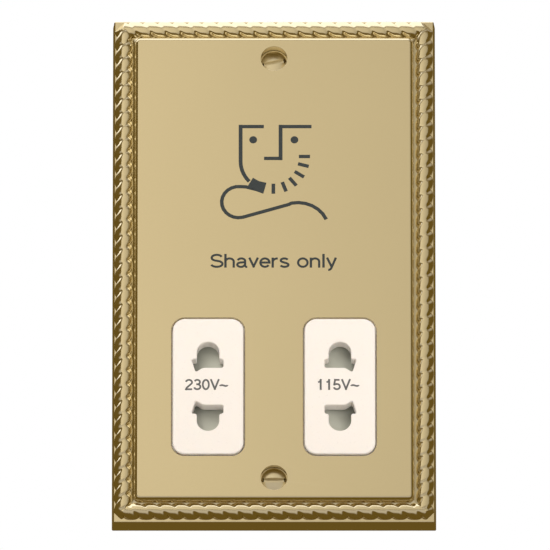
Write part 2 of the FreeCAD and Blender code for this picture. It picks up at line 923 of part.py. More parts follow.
def plunger(name, side):
    """The pin of one outlet pushes this rod back into its switch."""
    x = side * outlet_offset
    z = -outlet_drop - contact_offset
    collar_y = contact_end_y + rest_gap
    tail_y = collar_y + plunger_collar_length
    tail_length = switch_front_y + plunger_engaged - tail_y
    nose = rod(
        name + "_nose",
        "y",
        (x, collar_y - plunger_nose, z),
        plunger_nose + plunger_collar_length,
        plunger_radius,
    )
    collar = rod(
        name + "_collar", "y", (x, collar_y, z), plunger_collar_length, plunger_collar
    )
    tail = rod(
        name + "_tail",
        "y",
        (x, collar_y, z),
        tail_length + plunger_collar_length,
        plunger_tail_radius,
    )
    return fuse(name, [nose, collar, tail])


def micro_switch(name, side):
    """A switch body on the board, bored for the plunger's tail."""
    x = side * outlet_offset
    z = -outlet_drop - contact_offset
    case = box(
        name + "_case",
        (x - switch_width / 2, x + switch_width / 2),
        (switch_front_y, pillar_joint),
        (z - switch_height / 2, z + switch_height / 2),
    )
    bore_depth = plunger_engaged + plunger_travel + 2 * rest_gap
    bore = rod(
        name + "_bore", "y", (x, switch_front_y, z), bore_depth, plunger_tail_radius + running_fit
    )
    return cut(name, case, [bore])


def board_screw_places():
    low = inner_bottom + board_margin + board_post_inset
    high = -outlet_drop + rail_start - board_post_inset
    return [(side * board_post_offset, z) for side in (-1, 1) for z in (low, high)]


def switch_board():
    board = box(
        "switch_board_blank",
        (-rail_reach, rail_reach),
        (pillar_joint, board_back_y),
        (inner_bottom + board_margin, -outlet_drop + rail_start),
    )
    holes = [
        rod(
            f"board_hole_{number}",
            "y",
            (x, pillar_joint, z),
            board_thickness,
            board_screw_radius + running_fit,
        )
        for number, (x, z) in enumerate(board_screw_places())
    ]
    return cut("switch_board", board, holes)


def pan_screw(name, axis, start, head_radius, head_length, radius, length):
    """A small pan-head screw: the head ends at start and the shank goes on along +axis."""
    step = {"x": Vector(1, 0, 0), "y": Vector(0, 1, 0), "z": Vector(0, 0, 1)}[axis]
    backed = [
        amount - head_length * (1 if part else 0) if part else amount
        for amount, part in zip(start, step)
    ]
    head = rod(name + "_head", axis, backed, head_length, head_radius)
    shank = rod(name + "_shank", axis, backed, head_length + length, radius)
    return fuse(name, [head, shank])


def board_screws():
    screws = [
        pan_screw(
            f"board_screw_{number}",
            "y",
            (x, pillar_joint, z),
            board_screw_head,
            board_screw_radius,
            board_screw_radius,
            board_screw_length,
        )
        for number, (x, z) in enumerate(board_screw_places())
    ]
    return group("board_screws", screws)


# Transformer


def core_e_stack():
    """The E-shaped laminations, stacked in y, with the three legs pointing up."""
    owner = body("core_e_stack")
    sketch = sketch_on(owner, "e_outline", "XZ_Plane", -stack_back_y)
    half = core_width / 2
    low = core_bottom
    floor = core_bottom + core_leg
    high = floor + core_window
    outline(
        sketch,
        [
            (-half, low),
            (half, low),
            (half, high),
            (half - core_leg, high),
            (half - core_leg, floor),
            (core_leg, floor),
            (core_leg, high),
            (-core_leg, high),
            (-core_leg, floor),
            (core_leg - half, floor),
            (core_leg - half, high),
            (-half, high),
        ],
    )
    owner.Tip = pad(owner, "e_stack", sketch, core_stack)
    return owner


def core_i_stack():
    return box(
        "core_i_stack",
        (-core_width / 2, core_width / 2),
        (stack_front_y, stack_back_y),
        (core_top - core_leg, core_top),
    )


def ring_block(name, half_x, half_y, inner_x, inner_y, low, high):
    """A rectangular ring about the centre leg."""
    block = box(
        name + "_block",
        (-half_x, half_x),
        (core_middle - half_y, core_middle + half_y),
        (low, high),
    )
    hole = box(
        name + "_hole",
        (-inner_x, inner_x),
        (core_middle - inner_y, core_middle + inner_y),
        (low, high),
    )
    return cut(name, block, [hole])


def bobbin():
    """The winding former: a square tube with a flange at each end and one between the windings."""
    inner_x = core_leg + bobbin_gap
    inner_y = core_stack / 2 + bobbin_gap
    parts = [
        ring_block("bobbin_tube", tube_half_x, tube_half_y, inner_x, inner_y, bobbin_bottom, bobbin_top)
    ]
    for name, low in (
        ("low", bobbin_bottom),
        ("middle", bobbin_centre - bobbin_wall / 2),
        ("high", bobbin_top - bobbin_wall),
    ):
        parts.append(
            ring_block(
                "bobbin_flange_" + name,
                flange_half_x,
                flange_half_y,
                inner_x,
                inner_y,
                low,
                low + bobbin_wall,
            )
        )
    return fuse("bobbin", parts)


def winding(name, low, high):
    """One wound coil: a rounded block about the former's tube."""
    owner = body(name)
    sketch = sketch_on(owner, name + "_outline", "XY_Plane", low)
    rectangle(sketch, 0, core_middle, winding_half_x, winding_half_y)
    rectangle(sketch, 0, core_middle, tube_half_x, tube_half_y)
    coil = pad(owner, name + "_coil", sketch, high - low)
    owner.Tip = fillet(
        owner,
        name + "_corners",
        coil,
        winding_corner,
        lambda edge: near(abs(edge.BoundBox.XMin), winding_half_x.value)
        and near(edge.BoundBox.XLength, 0)
        and near(edge.BoundBox.YLength, 0),
    )
    return owner


def transformer_clamp():
    """A steel strap over the core, with a foot on each housing shelf."""
    half = core_width / 2
    front = core_middle - clamp_width / 2
    back = core_middle + clamp_width / 2
    parts = [
        box(
            "clamp_top",
            (-half - clamp_metal, half + clamp_metal),
            (front, back),
            (core_top, core_top + clamp_metal),
        )
    ]
    tools = []
    for name, side in (("left", -1), ("right", 1)):
        near_x, far_x = side * half, side * (half + clamp_metal)
        span = (near_x, far_x) if side > 0 else (far_x, near_x)
        parts.append(box("clamp_" + name, span, (front, back), (core_bottom, core_top)))
        foot_x = side * (half + foot_reach)
        foot_span = (near_x, foot_x) if side > 0 else (foot_x, near_x)
        parts.append(
            box("foot_" + name, foot_span, (front, back), (core_bottom, core_bottom + clamp_metal))
        )
        tools.append(
            rod(
                "foot_hole_" + name,
                "z",
                (foot_screw_x(side), core_middle, core_bottom),
                clamp_metal,
                foot_screw_radius + running_fit,
            )
        )
    return cut("transformer_clamp", fuse("clamp_blank", parts), tools)


def foot_screw_x(side):
    return side * (core_width / 2 + clamp_metal + (foot_reach - clamp_metal) / 2)


def transformer_screws():
    """Screws down through the clamp's feet into the housing shelves."""
    screws = []
    for name, side in (("left", -1), ("right", 1)):
        x = foot_screw_x(side)
        top = core_bottom + clamp_metal
        head = rod(f"foot_head_{name}", "z", (x, core_middle, top), foot_screw_radius, foot_screw_head)
        low = top - foot_screw_length
        shank = rod(f"foot_shank_{name}", "z", (x, core_middle, low), foot_screw_length, foot_screw_radius)
        screws.append(fuse(f"foot_screw_{name}", [head, shank]))
    return group("transformer_screws", screws)


def thermal_cutout():
    """A flat thermal cut-out on the front of the upper winding."""
    middle_z = (bobbin_centre + bobbin_top) / 2
    return box(
        "thermal_cutout",
        (-thermal_width / 2, thermal_width / 2),
        (winding_front_y - thermal_depth, winding_front_y),
        (middle_z - thermal_height / 2, middle_z + thermal_height / 2),
    )


# Rear housing


def rear_housing():
    """The open-fronted box behind the plate, with shelves, screw posts and vents."""
    owner = body("rear_housing")
    middle_z = (housing_top - housing_bottom) / 2
    half_z = (housing_top + housing_bottom) / 2
    outer_sketch = sketch_on(owner, "housing_outline", "XZ_Plane", -housing_depth)
    rectangle(outer_sketch, 0, middle_z, housing_half, half_z)
    outer = pad(owner, "housing_block", outer_sketch, housing_depth - lid_back_y)
    fillet(owner, "housing_corners", outer, housing_corner, is_along_y)
    inner_sketch = sketch_on(owner, "inner_outline", "XZ_Plane", -inner_back_y)
    rectangle(inner_sketch, 0, middle_z, inner_half, half_z - housing_wall)
    pocket(owner, "inside", inner_sketch, inner_back_y - lid_back_y, reverse=True)

    shelf_depth = clamp_width + 2 * shelf_margin
    shelf_sketch = sketch_on(owner, "shelf_outline", "XY_Plane", core_bottom - shelf_thickness)
    for side in (-1, 1):
        shelf_half = (inner_half - core_width / 2 - clamp_metal) / 2
        rectangle(
            shelf_sketch,
            side * (inner_half - shelf_half),
            core_middle,
            shelf_half + shelf_root,
            shelf_depth / 2,
        )
    pad(owner, "shelves", shelf_sketch, shelf_thickness)

    post_sketch = sketch_on(owner, "post_outline", "XZ_Plane", -inner_back_y)
    pillar_places = [(side * pillar_x, z) for side in (-1, 1) for z in (pillar_bottom_z, pillar_top_z)]
    for x, z in pillar_places:
        circle(post_sketch, x, z, pillar_radius)
    pad(owner, "posts", post_sketch, inner_back_y - pillar_joint)
    board_post_sketch = sketch_on(owner, "board_post_outline", "XZ_Plane", -inner_back_y)
    for x, z in board_screw_places():
        circle(board_post_sketch, x, z, board_post_radius)
    pad(owner, "board_posts", board_post_sketch, inner_back_y - board_back_y)

    board_pilot_sketch = sketch_on(owner, "board_pilot_outline", "XZ_Plane", -board_back_y)
    for x, z in board_screw_places():
        circle(board_pilot_sketch, x, z, board_screw_radius)
    pocket(owner, "board_pilots", board_pilot_sketch, board_screw_length - board_thickness)

    sink_sketch = sketch_on(owner, "sink_outline", "XZ_Plane", -housing_depth)
    hole_sketch = sketch_on(owner, "screw_hole_outline", "XZ_Plane", -housing_depth)
    for x, z in pillar_places:
        circle(sink_sketch, x, z, housing_screw_head + running_fit)
        circle(hole_sketch, x, z, housing_screw_radius + running_fit)
    pocket(owner, "screw_sinks", sink_sketch, housing_screw_sink, reverse=True)
    pocket(owner, "screw_holes", hole_sketch, housing_depth - pillar_joint, reverse=True)

    shelf_pilot_sketch = sketch_on(owner, "shelf_pilot_outline", "XY_Plane", core_bottom)
    for side in (-1, 1):
        circle(shelf_pilot_sketch, foot_screw_x(side), core_middle, foot_screw_radius)
    pocket(owner, "shelf_pilots", shelf_pilot_sketch, shelf_thickness)

    vent_sketch = sketch_on(owner, "vent_outline", "XZ_Plane", -housing_depth)
    first = -vent_pitch * (vent_count - 1) / 2
    vent_z = core_bottom + core_height / 2
    rectangle(vent_sketch, first, vent_z, vent_width / 2, vent_length / 2)
    vent = pocket(owner, "vent", vent_sketch, housing_wall, reverse=True)
    vents = owner.newObject("PartDesign::LinearPattern", "vents")
    vents.Originals = [vent]
    vents.Direction = (vent_sketch, ["H_Axis"])
    bind(vents, "Length", vent_pitch * (vent_count - 1))
    bind(vents, "Occurrences", vent_count)
    owner.Tip = vents
    return owner


def housing_screws():
    """Four screws from the back into the front moulding's pillars."""
    screws = []
    seat_y = housing_depth - housing_screw_sink
    places = [(side * pillar_x, z) for side in (-1, 1) for z in (pillar_bottom_z, pillar_top_z)]
    for number, (x, z) in enumerate(places):
        tip_y = pillar_joint - housing_screw_length + rest_gap
        shank = rod(f"housing_shank_{number}", "y", (x, tip_y, z), seat_y - tip_y, housing_screw_radius)
        head = rod(f"housing_head_{number}", "y", (x, seat_y, z), housing_screw_head, housing_screw_head)
        screws.append(fuse(f"housing_screw_{number}", [shank, head]))
    return group("housing_screws", screws)


# Terminals


def terminal_block():
    """The moulded block above the housing, bored from above for three terminals."""
    block = box(
        "terminal_block_blank",
        (-block_width / 2, block_width / 2),
        (-block_front, block_back),
        (block_bottom, block_top),
    )
    tools = []
    for number in (-1, 0, 1):
        x = number * terminal_pitch
        tools.append(
            rod(
                f"terminal_bore_{number + 1}",
                "z",
                (x, terminal_y, block_bottom + terminal_floor),
                block_height - terminal_floor,
                terminal_radius + running_fit,
            )
        )
        tools.append(
            rod(
                f"driver_hole_{number + 1}",
                "y",
                (x, terminal_y, terminal_screw_z()),
                block_back - terminal_y,
                terminal_screw_radius + 2 * running_fit,
            )
        )
    return cut("terminal_block", block, tools)


def terminal_screw_z():
    return block_bottom + terminal_floor + (block_height - terminal_floor) / 2


def terminal(name, x):
    """A brass barrel with a wire hole from above and a clamping screw's hole from the back."""
    low = block_bottom + terminal_floor
    barrel = rod(name + "_barrel", "z", (x, terminal_y, low), block_height - terminal_floor, terminal_radius)
    wire_hole = rod(
        name + "_wire_hole",
        "z",
        (x, terminal_y, low + terminal_floor),
        block_height - 2 * terminal_floor,
        terminal_hole_radius,
    )
    screw_hole = rod(
        name + "_screw_hole",
        "y",
        (x, terminal_y, terminal_screw_z()),
        terminal_radius,
        terminal_screw_radius + running_fit,
    )
    return cut(name, barrel, [wire_hole, screw_hole])


def terminal_screws():
    """Grub screws that clamp the wires."""
    screws = []
    for number in (-1, 0, 1):
        start_y = terminal_y + terminal_hole_radius - rest_gap
        blank = rod(
            f"grub_{number + 1}",
            "y",
            (number * terminal_pitch, start_y, terminal_screw_z()),
            terminal_screw_length,
            terminal_screw_radius,
        )
        slot_y = start_y + terminal_screw_length
        x = number * terminal_pitch
        slot = box(
            f"grub_slot_{number + 1}",
            (x - terminal_screw_radius, x + terminal_screw_radius),
            (slot_y - screw_slot_width, slot_y),
            (terminal_screw_z() - screw_slot_width / 4, terminal_screw_z() + screw_slot_width / 4),
        )
        screws.append(cut(f"terminal_screw_{number + 1}", blank, [slot]))
    return group("terminal_screws", screws)


def earth_tag():
    """A brass ring under the top cup, with a pin down into the earth terminal."""
    ring = rod("tag_ring", "y", (0, tag_y, fixing_z), tag_metal, tag_radius)
    tail = box(
        "tag_tail",
        (-tag_radius / 2, tag_radius / 2),
        (tag_y, tag_y + tag_metal),
        (fixing_z - tag_radius - tag_length, fixing_z),
    )
    pin = box(
        "tag_pin",
        (-tag_pin_width / 2, tag_pin_width / 2),
        (tag_y, tag_y + tag_metal),
        (block_top - tag_pin_length, fixing_z - tag_radius),
    )
    hole = rod("tag_hole", "y", (0, tag_y, fixing_z), tag_metal, screw_hole_radius)
    return cut("earth_tag", fuse("tag_blank", [ring, tail, pin]), [hole])


# Build every sub-part

nodes = [
    faceplate(),
    fixing_screw("fixing_screw_top", fixing_z, cup_depth_top, screw_turn_top),
    fixing_screw("fixing_screw_bottom", -fixing_z, cup_depth_bottom, screw_turn_bottom),
    front_moulding(),
    shutter_bar(),
    shutter_spring("shutter_spring_left", -1),
    shutter_spring("shutter_spring_right", 1),
    contact_carrier(),
    pin_contact("contact_left_upper", -1, 1),
    pin_contact("contact_left_lower", -1, -1),
    pin_contact("contact_right_upper", 1, 1),
    pin_contact("contact_right_lower", 1, -1),
    plunger("plunger_left", -1),
    plunger("plunger_right", 1),
    micro_switch("micro_switch_left", -1),
    micro_switch("micro_switch_right", 1),
    switch_board(),
    board_screws(),
    core_e_stack(),
    core_i_stack(),
    bobbin(),
    winding("primary_winding", bobbin_bottom + bobbin_wall, bobbin_centre - bobbin_wall / 2),
    winding("secondary_winding", bobbin_centre + bobbin_wall / 2, bobbin_top - bobbin_wall),
    transformer_clamp(),
    transformer_screws(),
    thermal_cutout(),
    rear_housing(),
    housing_screws(),
    terminal_block(),
    terminal("terminal_live", -terminal_pitch),
    terminal("terminal_earth", as_size(0)),
    terminal("terminal_neutral", terminal_pitch),
    terminal_screws(),
    earth_tag(),
]
doc.recompute()

for item in doc.Objects:
    if "Invalid" in item.State or "Error" in item.State:
        raise RuntimeError(f"{item.Name} failed: {item.State}")
for node in nodes:
    if node.Shape.isNull() or not node.Shape.isValid() or not node.Shape.Solids:
        raise RuntimeError(f"{node.Label} has no valid shape")
for node in nodes:
    node.Shape.exportStep(f"parts/{node.Label}.step")
    bounds = node.Shape.BoundBox
    print(f"{node.Label}: {len(node.Shape.Solids)} solid, {node.Shape.Volume:.1f} mm3, "
          f"x {bounds.XMin:.2f} {bounds.XMax:.2f}, y {bounds.YMin:.2f} {bounds.YMax:.2f}, "
          f"z {bounds.ZMin:.2f} {bounds.ZMax:.2f}")
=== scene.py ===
# %% [markdown]
# # A shaver socket with a roped brass plate
#
# This lesson dresses a finished CAD part for the camera. The part is a wall plate for a bathroom:
# polished brass with a rope round its edge, two white outlets, and a housing behind it. The CAD
# model gives every place and size, so the pieces made here only have to look right and sit where
# the CAD says. Everything is in metres, +X is right, +Z is up and -Y comes out of the wall.

# %% Load the frame
import json
import math

import bpy
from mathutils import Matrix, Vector


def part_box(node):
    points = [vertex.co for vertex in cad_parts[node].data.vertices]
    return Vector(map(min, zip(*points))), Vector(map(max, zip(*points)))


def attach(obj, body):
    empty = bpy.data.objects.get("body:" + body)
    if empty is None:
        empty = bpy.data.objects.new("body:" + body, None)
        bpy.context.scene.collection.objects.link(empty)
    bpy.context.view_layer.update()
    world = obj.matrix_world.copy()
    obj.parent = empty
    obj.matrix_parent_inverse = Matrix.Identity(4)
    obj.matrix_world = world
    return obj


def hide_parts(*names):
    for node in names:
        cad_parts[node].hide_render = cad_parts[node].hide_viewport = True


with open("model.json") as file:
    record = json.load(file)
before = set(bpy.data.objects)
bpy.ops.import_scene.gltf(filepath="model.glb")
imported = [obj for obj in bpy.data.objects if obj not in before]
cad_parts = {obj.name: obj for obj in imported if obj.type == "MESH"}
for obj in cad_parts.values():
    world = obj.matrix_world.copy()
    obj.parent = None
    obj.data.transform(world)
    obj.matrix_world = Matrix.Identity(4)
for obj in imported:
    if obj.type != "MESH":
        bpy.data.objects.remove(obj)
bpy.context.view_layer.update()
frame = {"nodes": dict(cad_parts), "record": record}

nodes = frame["nodes"]
mm = 0.001
bpy.ops.object.select_all(action="DESELECT")

# %% [markdown]
# ## A few tools of our own
#
# Modelling by hand is mostly the same moves: pick some faces or edges, push them, round them. A
# script has no mouse, so it picks by place or direction instead. These helpers do that, and they
# leave the piece at the origin with its place in its mesh, as the CAD nodes are.


# %% Helpers for modelling
def select_only(piece):
    bpy.ops.object.select_all(action="DESELECT")
    piece.select_set(True)
    bpy.context.view_layer.objects.active = piece


def settle(piece):
    """Moves the place, turn and scale of a piece into its mesh."""
    select_only(piece)
    bpy.ops.object.transform_apply(location=True, rotation=True, scale=True)


def start_piece(name):
    """Names the new primitive and settles it."""
    piece = bpy.context.object
    piece.name = name
    piece.data.name = name
    settle(piece)
    return piece


def block(name, low, high):
    """A cube between two corners, given in millimetres."""
    low, high = Vector(low) * mm, Vector(high) * mm
    bpy.ops.mesh.primitive_cube_add(size=1, location=(low + high) / 2, scale=high - low)
    return start_piece(name)


def rod(name, centre, radius, y_front, y_back, steps=64):
    """A cylinder along Y at centre = (x, z), in millimetres."""
    place = Vector((centre[0], (y_front + y_back) / 2, centre[1])) * mm
    bpy.ops.mesh.primitive_cylinder_add(
        vertices=steps,
        radius=radius * mm,
        depth=(y_back - y_front) * mm,
        location=place,
        rotation=(math.pi / 2, 0, 0),
    )
    return start_piece(name)


def choose(piece, kind, test):
    """Picks in edit mode the faces, edges or vertices that pass the test. Places are in mm."""
    select_only(piece)
    bpy.ops.object.mode_set(mode="EDIT")
    bpy.ops.mesh.select_mode(type=kind)
    bpy.ops.mesh.select_all(action="DESELECT")
    bpy.ops.object.mode_set(mode="OBJECT")
    mesh = piece.data
    places = [vertex.co / mm for vertex in mesh.vertices]
    picked = 0
    if kind == "FACE":
        for face in mesh.polygons:
            face.select = test(face.center / mm, face.normal)
            picked += face.select
    elif kind == "EDGE":
        for edge in mesh.edges:
            edge.select = test(*[places[index] for index in edge.vertices])
            picked += edge.select
    else:
        for vertex, place in zip(mesh.vertices, places):
            vertex.select = test(place)
            picked += vertex.select
    bpy.ops.object.mode_set(mode="EDIT")
    return picked


def done():
    bpy.ops.object.mode_set(mode="OBJECT")
    bpy.ops.object.select_all(action="DESELECT")


def push(distance):
    """Extrudes what is picked along Y, in millimetres."""
    bpy.ops.mesh.extrude_region_move(
        TRANSFORM_OT_translate={"value": (0, distance * mm, 0)}
    )


def round_edges(piece, radius, steps, test):
    """Bevels the edges that pass the test to a radius in millimetres."""
    picked = choose(piece, "EDGE", test)
    bpy.ops.mesh.bevel(offset=radius * mm, segments=steps, affect="EDGES", clamp_overlap=True)
    done()
    return picked


def finish_with(piece, kind, **settings):
    """Adds a modifier, sets it and applies it."""
    select_only(piece)
    modifier = piece.modifiers.new(kind.lower(), kind)
    for setting, value in settings.items():
        setattr(modifier, setting, value)
    bpy.ops.object.modifier_apply(modifier=modifier.name)
    bpy.ops.object.select_all(action="DESELECT")


def combine(piece, tool, operation):
    """Adds the tool to the piece or cuts it out, and deletes the tool."""
    finish_with(piece, "BOOLEAN", object=tool, operation=operation, solver="EXACT")
    bpy.data.objects.remove(tool)


def shade(piece, angle=30):
    """Smooth shading with edges sharper than the angle kept, and flat faces kept flat."""
    select_only(piece)
    bpy.ops.object.shade_smooth_by_angle(angle=math.radians(angle))
    finish_with(piece, "WEIGHTED_NORMAL", keep_sharp=True, weight=100)


def join(name, parts):
    """Makes one piece of several."""
    select_only(parts[0])
    for part in parts:
        part.select_set(True)
    if len(parts) > 1:
        bpy.ops.object.join()
    parts[0].name = name
    parts[0].data.name = name
    bpy.ops.object.select_all(action="DESELECT")
    return parts[0]


def is_along_y(one, other):
    return abs(one.x - other.x) < 1e-3 and abs(one.z - other.z) < 1e-3


def both_at_y(one, other, y):
    return abs(one.y - y) < 1e-3 and abs(other.y - y) < 1e-3


# %% [markdown]
# ## The plate
#
# The real plate is pressed from brass: a low rim on the wall that carries the rope, and a raised
# panel with well rounded edges. Under the rope the rim begins to slope up to the panel's foot. By
# hand this is one block whose front face is drawn in a little for the draft. It is inset to the
# start of the slope, inset again to the panel's outline, lifted a little and extruded forward. The
# hollow back is the same move from behind. It is one mesh, because the real plate is one sheet.

# %% Rim and raised panel
plate_half = Vector((43.0, 0, 72.5))
rim_height = 4.85
rim_draft = 0.36
rim_edge = 0.35
slope_inset = 4.4
slope_rise = 0.55
foot_edge = 0.2
panel_inset = 5.95
panel_height = 7.45
panel_corner = 1.5
panel_edge = 1.0
panel_half = plate_half - Vector((panel_inset, 0, panel_inset))

plate = block(
    "brass_plate", (-plate_half.x, -rim_height, -plate_half.z), (plate_half.x, 0, plate_half.z)
)
choose(plate, "FACE", lambda place, normal: normal.y < -0.9)
bpy.ops.transform.resize(
    value=(1 - rim_draft / plate_half.x, 1, 1 - rim_draft / plate_half.z)
)
bpy.ops.mesh.inset(thickness=(slope_inset - rim_draft) * mm)
bpy.ops.mesh.inset(thickness=(panel_inset - slope_inset) * mm)
bpy.ops.transform.translate(value=(0, -slope_rise * mm, 0))
push(rim_height + slope_rise - panel_height)
done()


def on_panel_wall(one, other):
    return is_along_y(one, other) and abs(abs(one.x) - panel_half.x) < 0.01


round_edges(plate, panel_corner, 8, on_panel_wall)
round_edges(plate, panel_edge, 8, lambda one, other: both_at_y(one, other, -panel_height))


def at_panel_foot(one, other):
    """The inner corner where the panel's wall meets the slope."""
    return both_at_y(one, other, -slope_rise - rim_height)


round_edges(plate, foot_edge, 3, at_panel_foot)

# %% [markdown]
# The back is hollow: first a shallow step inside the rim, then a deeper one behind the panel. Both
# are an inset and an extrusion of the back face, which leaves the walls as thick as the real sheet.

# %% Hollow back
rim_wall = 1.5
rim_front = 1.4
rim_hollow = rim_height - rim_front
panel_wall = 2.0
panel_front = 1.2

choose(plate, "FACE", lambda place, normal: normal.y > 0.9)
bpy.ops.mesh.inset(thickness=rim_wall * mm)
push(-rim_hollow)
bpy.ops.mesh.inset(thickness=(panel_inset + panel_wall - rim_wall) * mm)
push(rim_hollow + panel_front - panel_height)
done()


def on_rim_edge(one, other):
    """The rim's four front edges and the four corners that run up to them."""
    outermost = all(
        abs(point.x) > plate_half.x - 1 or abs(point.z) > plate_half.z - 1 for point in (one, other)
    )
    return outermost and min(one.y, other.y) < 0.01 - rim_height


picked = round_edges(plate, rim_edge, 5, on_rim_edge)
print("rim edges rounded:", picked, "plate faces:", len(plate.data.polygons))

# %% [markdown]
# Two openings let the white outlets through, and two sunk cups take the screws. They are pressed
# and pierced in the real plate, so their edges are softly rounded. Each is cut with a plain tool
# shape (a boolean), and then its front edge gets a small bevel. A cup needs metal around it, so a
# short boss is added behind the panel first.

# %% Cut-outs for the outlets
outlet_x = 17.5
outlet_z = -34.3
cutout_half = (9.7, 19.75)
cutout_corner = 3.6
cutout_edge = 0.25
cutter_front = -9
cutter_back = -3


def outlet_tool(name, half, corner, y_front, y_back, side):
    """A rounded block at one outlet, used both as a cutter and as the start of a face."""
    tool = block(
        name,
        (side * outlet_x - half[0], y_front, outlet_z - half[1]),
        (side * outlet_x + half[0], y_back, outlet_z + half[1]),
    )
    round_edges(tool, corner, 10, is_along_y)
    return tool


for side in (-1, 1):
    tool = outlet_tool(
        "cutout_tool", cutout_half, cutout_corner, cutter_front, cutter_back, side
    )
    combine(plate, tool, "DIFFERENCE")

# %% Screw cups
screw_z = 60.3
cup_radius = 3.5
cup_depths = {screw_z: 3.2, -screw_z: 2.0}
cup_seat = 1.4
cup_wall = 1.3
cup_edge = 0.35
cup_step = 0.1
hole_radius = 2.0
hole_length = 3

for z, depth in cup_depths.items():
    cup_floor = depth - panel_height
    boss_back = cup_floor + cup_seat + cup_wall
    boss = rod("boss", (0, z), cup_radius + cup_wall, 1 - panel_height, boss_back)
    combine(plate, boss, "UNION")
    cup = rod("cup", (0, z), cup_radius, cutter_front, cup_floor)
    choose(cup, "FACE", lambda place, normal: normal.y > 0.9)
    bpy.ops.mesh.inset(thickness=cup_step * mm)
    push(cup_seat)
    share = hole_radius / (cup_radius - cup_step)
    bpy.ops.transform.resize(value=(share, 1, share))
    push(hole_length)
    done()
    combine(plate, cup, "DIFFERENCE")


def near_outlet(point):
    across, up = abs(abs(point.x) - outlet_x), abs(point.z - outlet_z)
    return across < cutout_half[0] + 0.25 and up < cutout_half[1] + 0.25


def near_cup(point):
    return math.hypot(point.x, abs(point.z) - screw_z) < cup_radius + 0.1


round_edges(
    plate,
    cutout_edge,
    3,
    lambda one, other: both_at_y(one, other, -panel_height)
    and near_outlet(one)
    and near_outlet(other),
)
round_edges(
    plate,
    cup_edge,
    4,
    lambda one, other: both_at_y(one, other, -panel_height) and near_cup(one) and near_cup(other),
)
shade(plate)
print("plate with cuts, faces:", len(plate.data.polygons))

# %% [markdown]
# ## The rope
#
# The border is a half-round bead with nicks that wind round it, so it looks like a rope. The
# polishing wheel has almost taken the nicks off the crest and left them deep on the flanks. So a
# circle with two notches is drawn once, the Screw modifier winds it along the side, and both ends
# are closed. Points in a notch are then moved out, the more the nearer they are to the crest. A
# bisect takes away what would lie in the plate, a sloping one cuts off each outer corner, and
# slanted ones mitre the ends as a picture frame is mitred. Each bisect closes its own cut.

# %% One turned rope
strand_pitch = 3.95
rope_corners = 64
rope_steps = 36
rope_half_width = 2.4
rope_rise = 1.8
nick_depth = 0.62
nick_width = 0.55
crest_polish = 0.8


def turned_rope(name, length):
    """A rope of two strands along Z, longer than it needs to be at both ends."""
    bpy.ops.mesh.primitive_circle_add(vertices=rope_corners, radius=rope_half_width * mm)
    rope = start_piece(name)
    for vertex in rope.data.vertices:
        from_nick = vertex.co.y / vertex.co.length
        depth = nick_depth * math.exp(-((from_nick / nick_width) ** 2))
        vertex.co *= 1 - depth / rope_half_width
    turns = math.ceil(length / (2 * strand_pitch)) + 2
    finish_with(
        rope,
        "SCREW",
        axis="Z",
        angle=2 * math.pi,
        screw_offset=2 * strand_pitch * mm,
        iterations=turns,
        steps=rope_steps,
        render_steps=rope_steps,
        use_smooth_shade=True,
    )
    choose(rope, "VERT", lambda place: True)
    bpy.ops.mesh.fill_holes(sides=0)
    done()
    for vertex in rope.data.vertices:
        away = vertex.co.xy.length / mm
        facing = max(0.0, -vertex.co.y / mm / away)
        polished = away + (rope_half_width - away) * crest_polish * facing**4
        vertex.co.x *= polished / away
        vertex.co.y *= polished / away
    rope.location.z = -turns * strand_pitch * mm
    rope.scale.y = rope_rise / rope_half_width
    settle(rope)
    return rope


# %% Four sides, cut to fit
rope_inset = 3.0
rope_sunk = 0.4
bottom_lift = 0.55
corner_cut = 3.8
corner_slope = 1.2
merge_distance = 0.002
rope_half = plate_half - Vector((rope_inset, 0, rope_inset))
rope_floor = rope_sunk - rim_height


def rope_side(name, across, half_length, other_half):
    """One side of the border. across is -1 or 1 for the side it lies on."""
    upright = name.endswith(("left", "right"))
    rope = turned_rope(name, 2 * half_length)
    if upright:
        rope.location = Vector((across * other_half, -rim_height, 0)) * mm
    else:
        rope.rotation_euler.y = math.pi / 2
        rope.location = Vector((0, -rim_height, across * other_half)) * mm
    settle(rope)
    choose(rope, "FACE", lambda place, normal: True)
    bpy.ops.mesh.bisect(
        plane_co=(0, rope_floor * mm, 0), plane_no=(0, 1, 0), clear_outer=True, use_fill=True
    )
    for end in (-1, 1):
        x, z = (across, end) if upright else (end, across)
        corner = Vector((x * plate_half.x, -rim_height, z * plate_half.z)) * mm
        cut_edge = corner - Vector((x, 0, z)) * corner_cut / 2 * mm
        bpy.ops.mesh.select_all(action="SELECT")
        bpy.ops.mesh.bisect(
            plane_co=cut_edge, plane_no=(x, -corner_slope, z), clear_outer=True, use_fill=True
        )
        mitre = (-x, 0, z) if upright else (x, 0, -z)
        bpy.ops.mesh.select_all(action="SELECT")
        bpy.ops.mesh.bisect(plane_co=corner, plane_no=mitre, clear_outer=True, use_fill=True)
    done()
    return rope


ropes = [
    rope_side("rope_top", 1, rope_half.x, rope_half.z),
    rope_side("rope_bottom", -1, rope_half.x, rope_half.z - bottom_lift),
    rope_side("rope_left", -1, rope_half.z, rope_half.x),
    rope_side("rope_right", 1, rope_half.z, rope_half.x),
]
for rope in ropes:
    choose(rope, "FACE", lambda place, normal: True)
    bpy.ops.mesh.remove_doubles(threshold=merge_distance * mm)
    bpy.ops.mesh.normals_make_consistent(inside=False)
    done()
    # The merge can leave one sliver on top of another, and this drops the second.
    rope.data.validate()
    shade(rope, 32)
    print(rope.name, "faces:", len(rope.data.polygons))

# %% [markdown]
# ## The white outlets
#
# Both outlet faces and the lid behind the plate are one white moulding. A face stands a little
# proud of the brass with rounded edges. Its pin openings take round pins of one country and flat
# slanted blades of another, so each has a round end, a cross bar and one slanting wing. The tool
# that cuts one is a flat outline whose inner corners are rounded before it is given its depth.

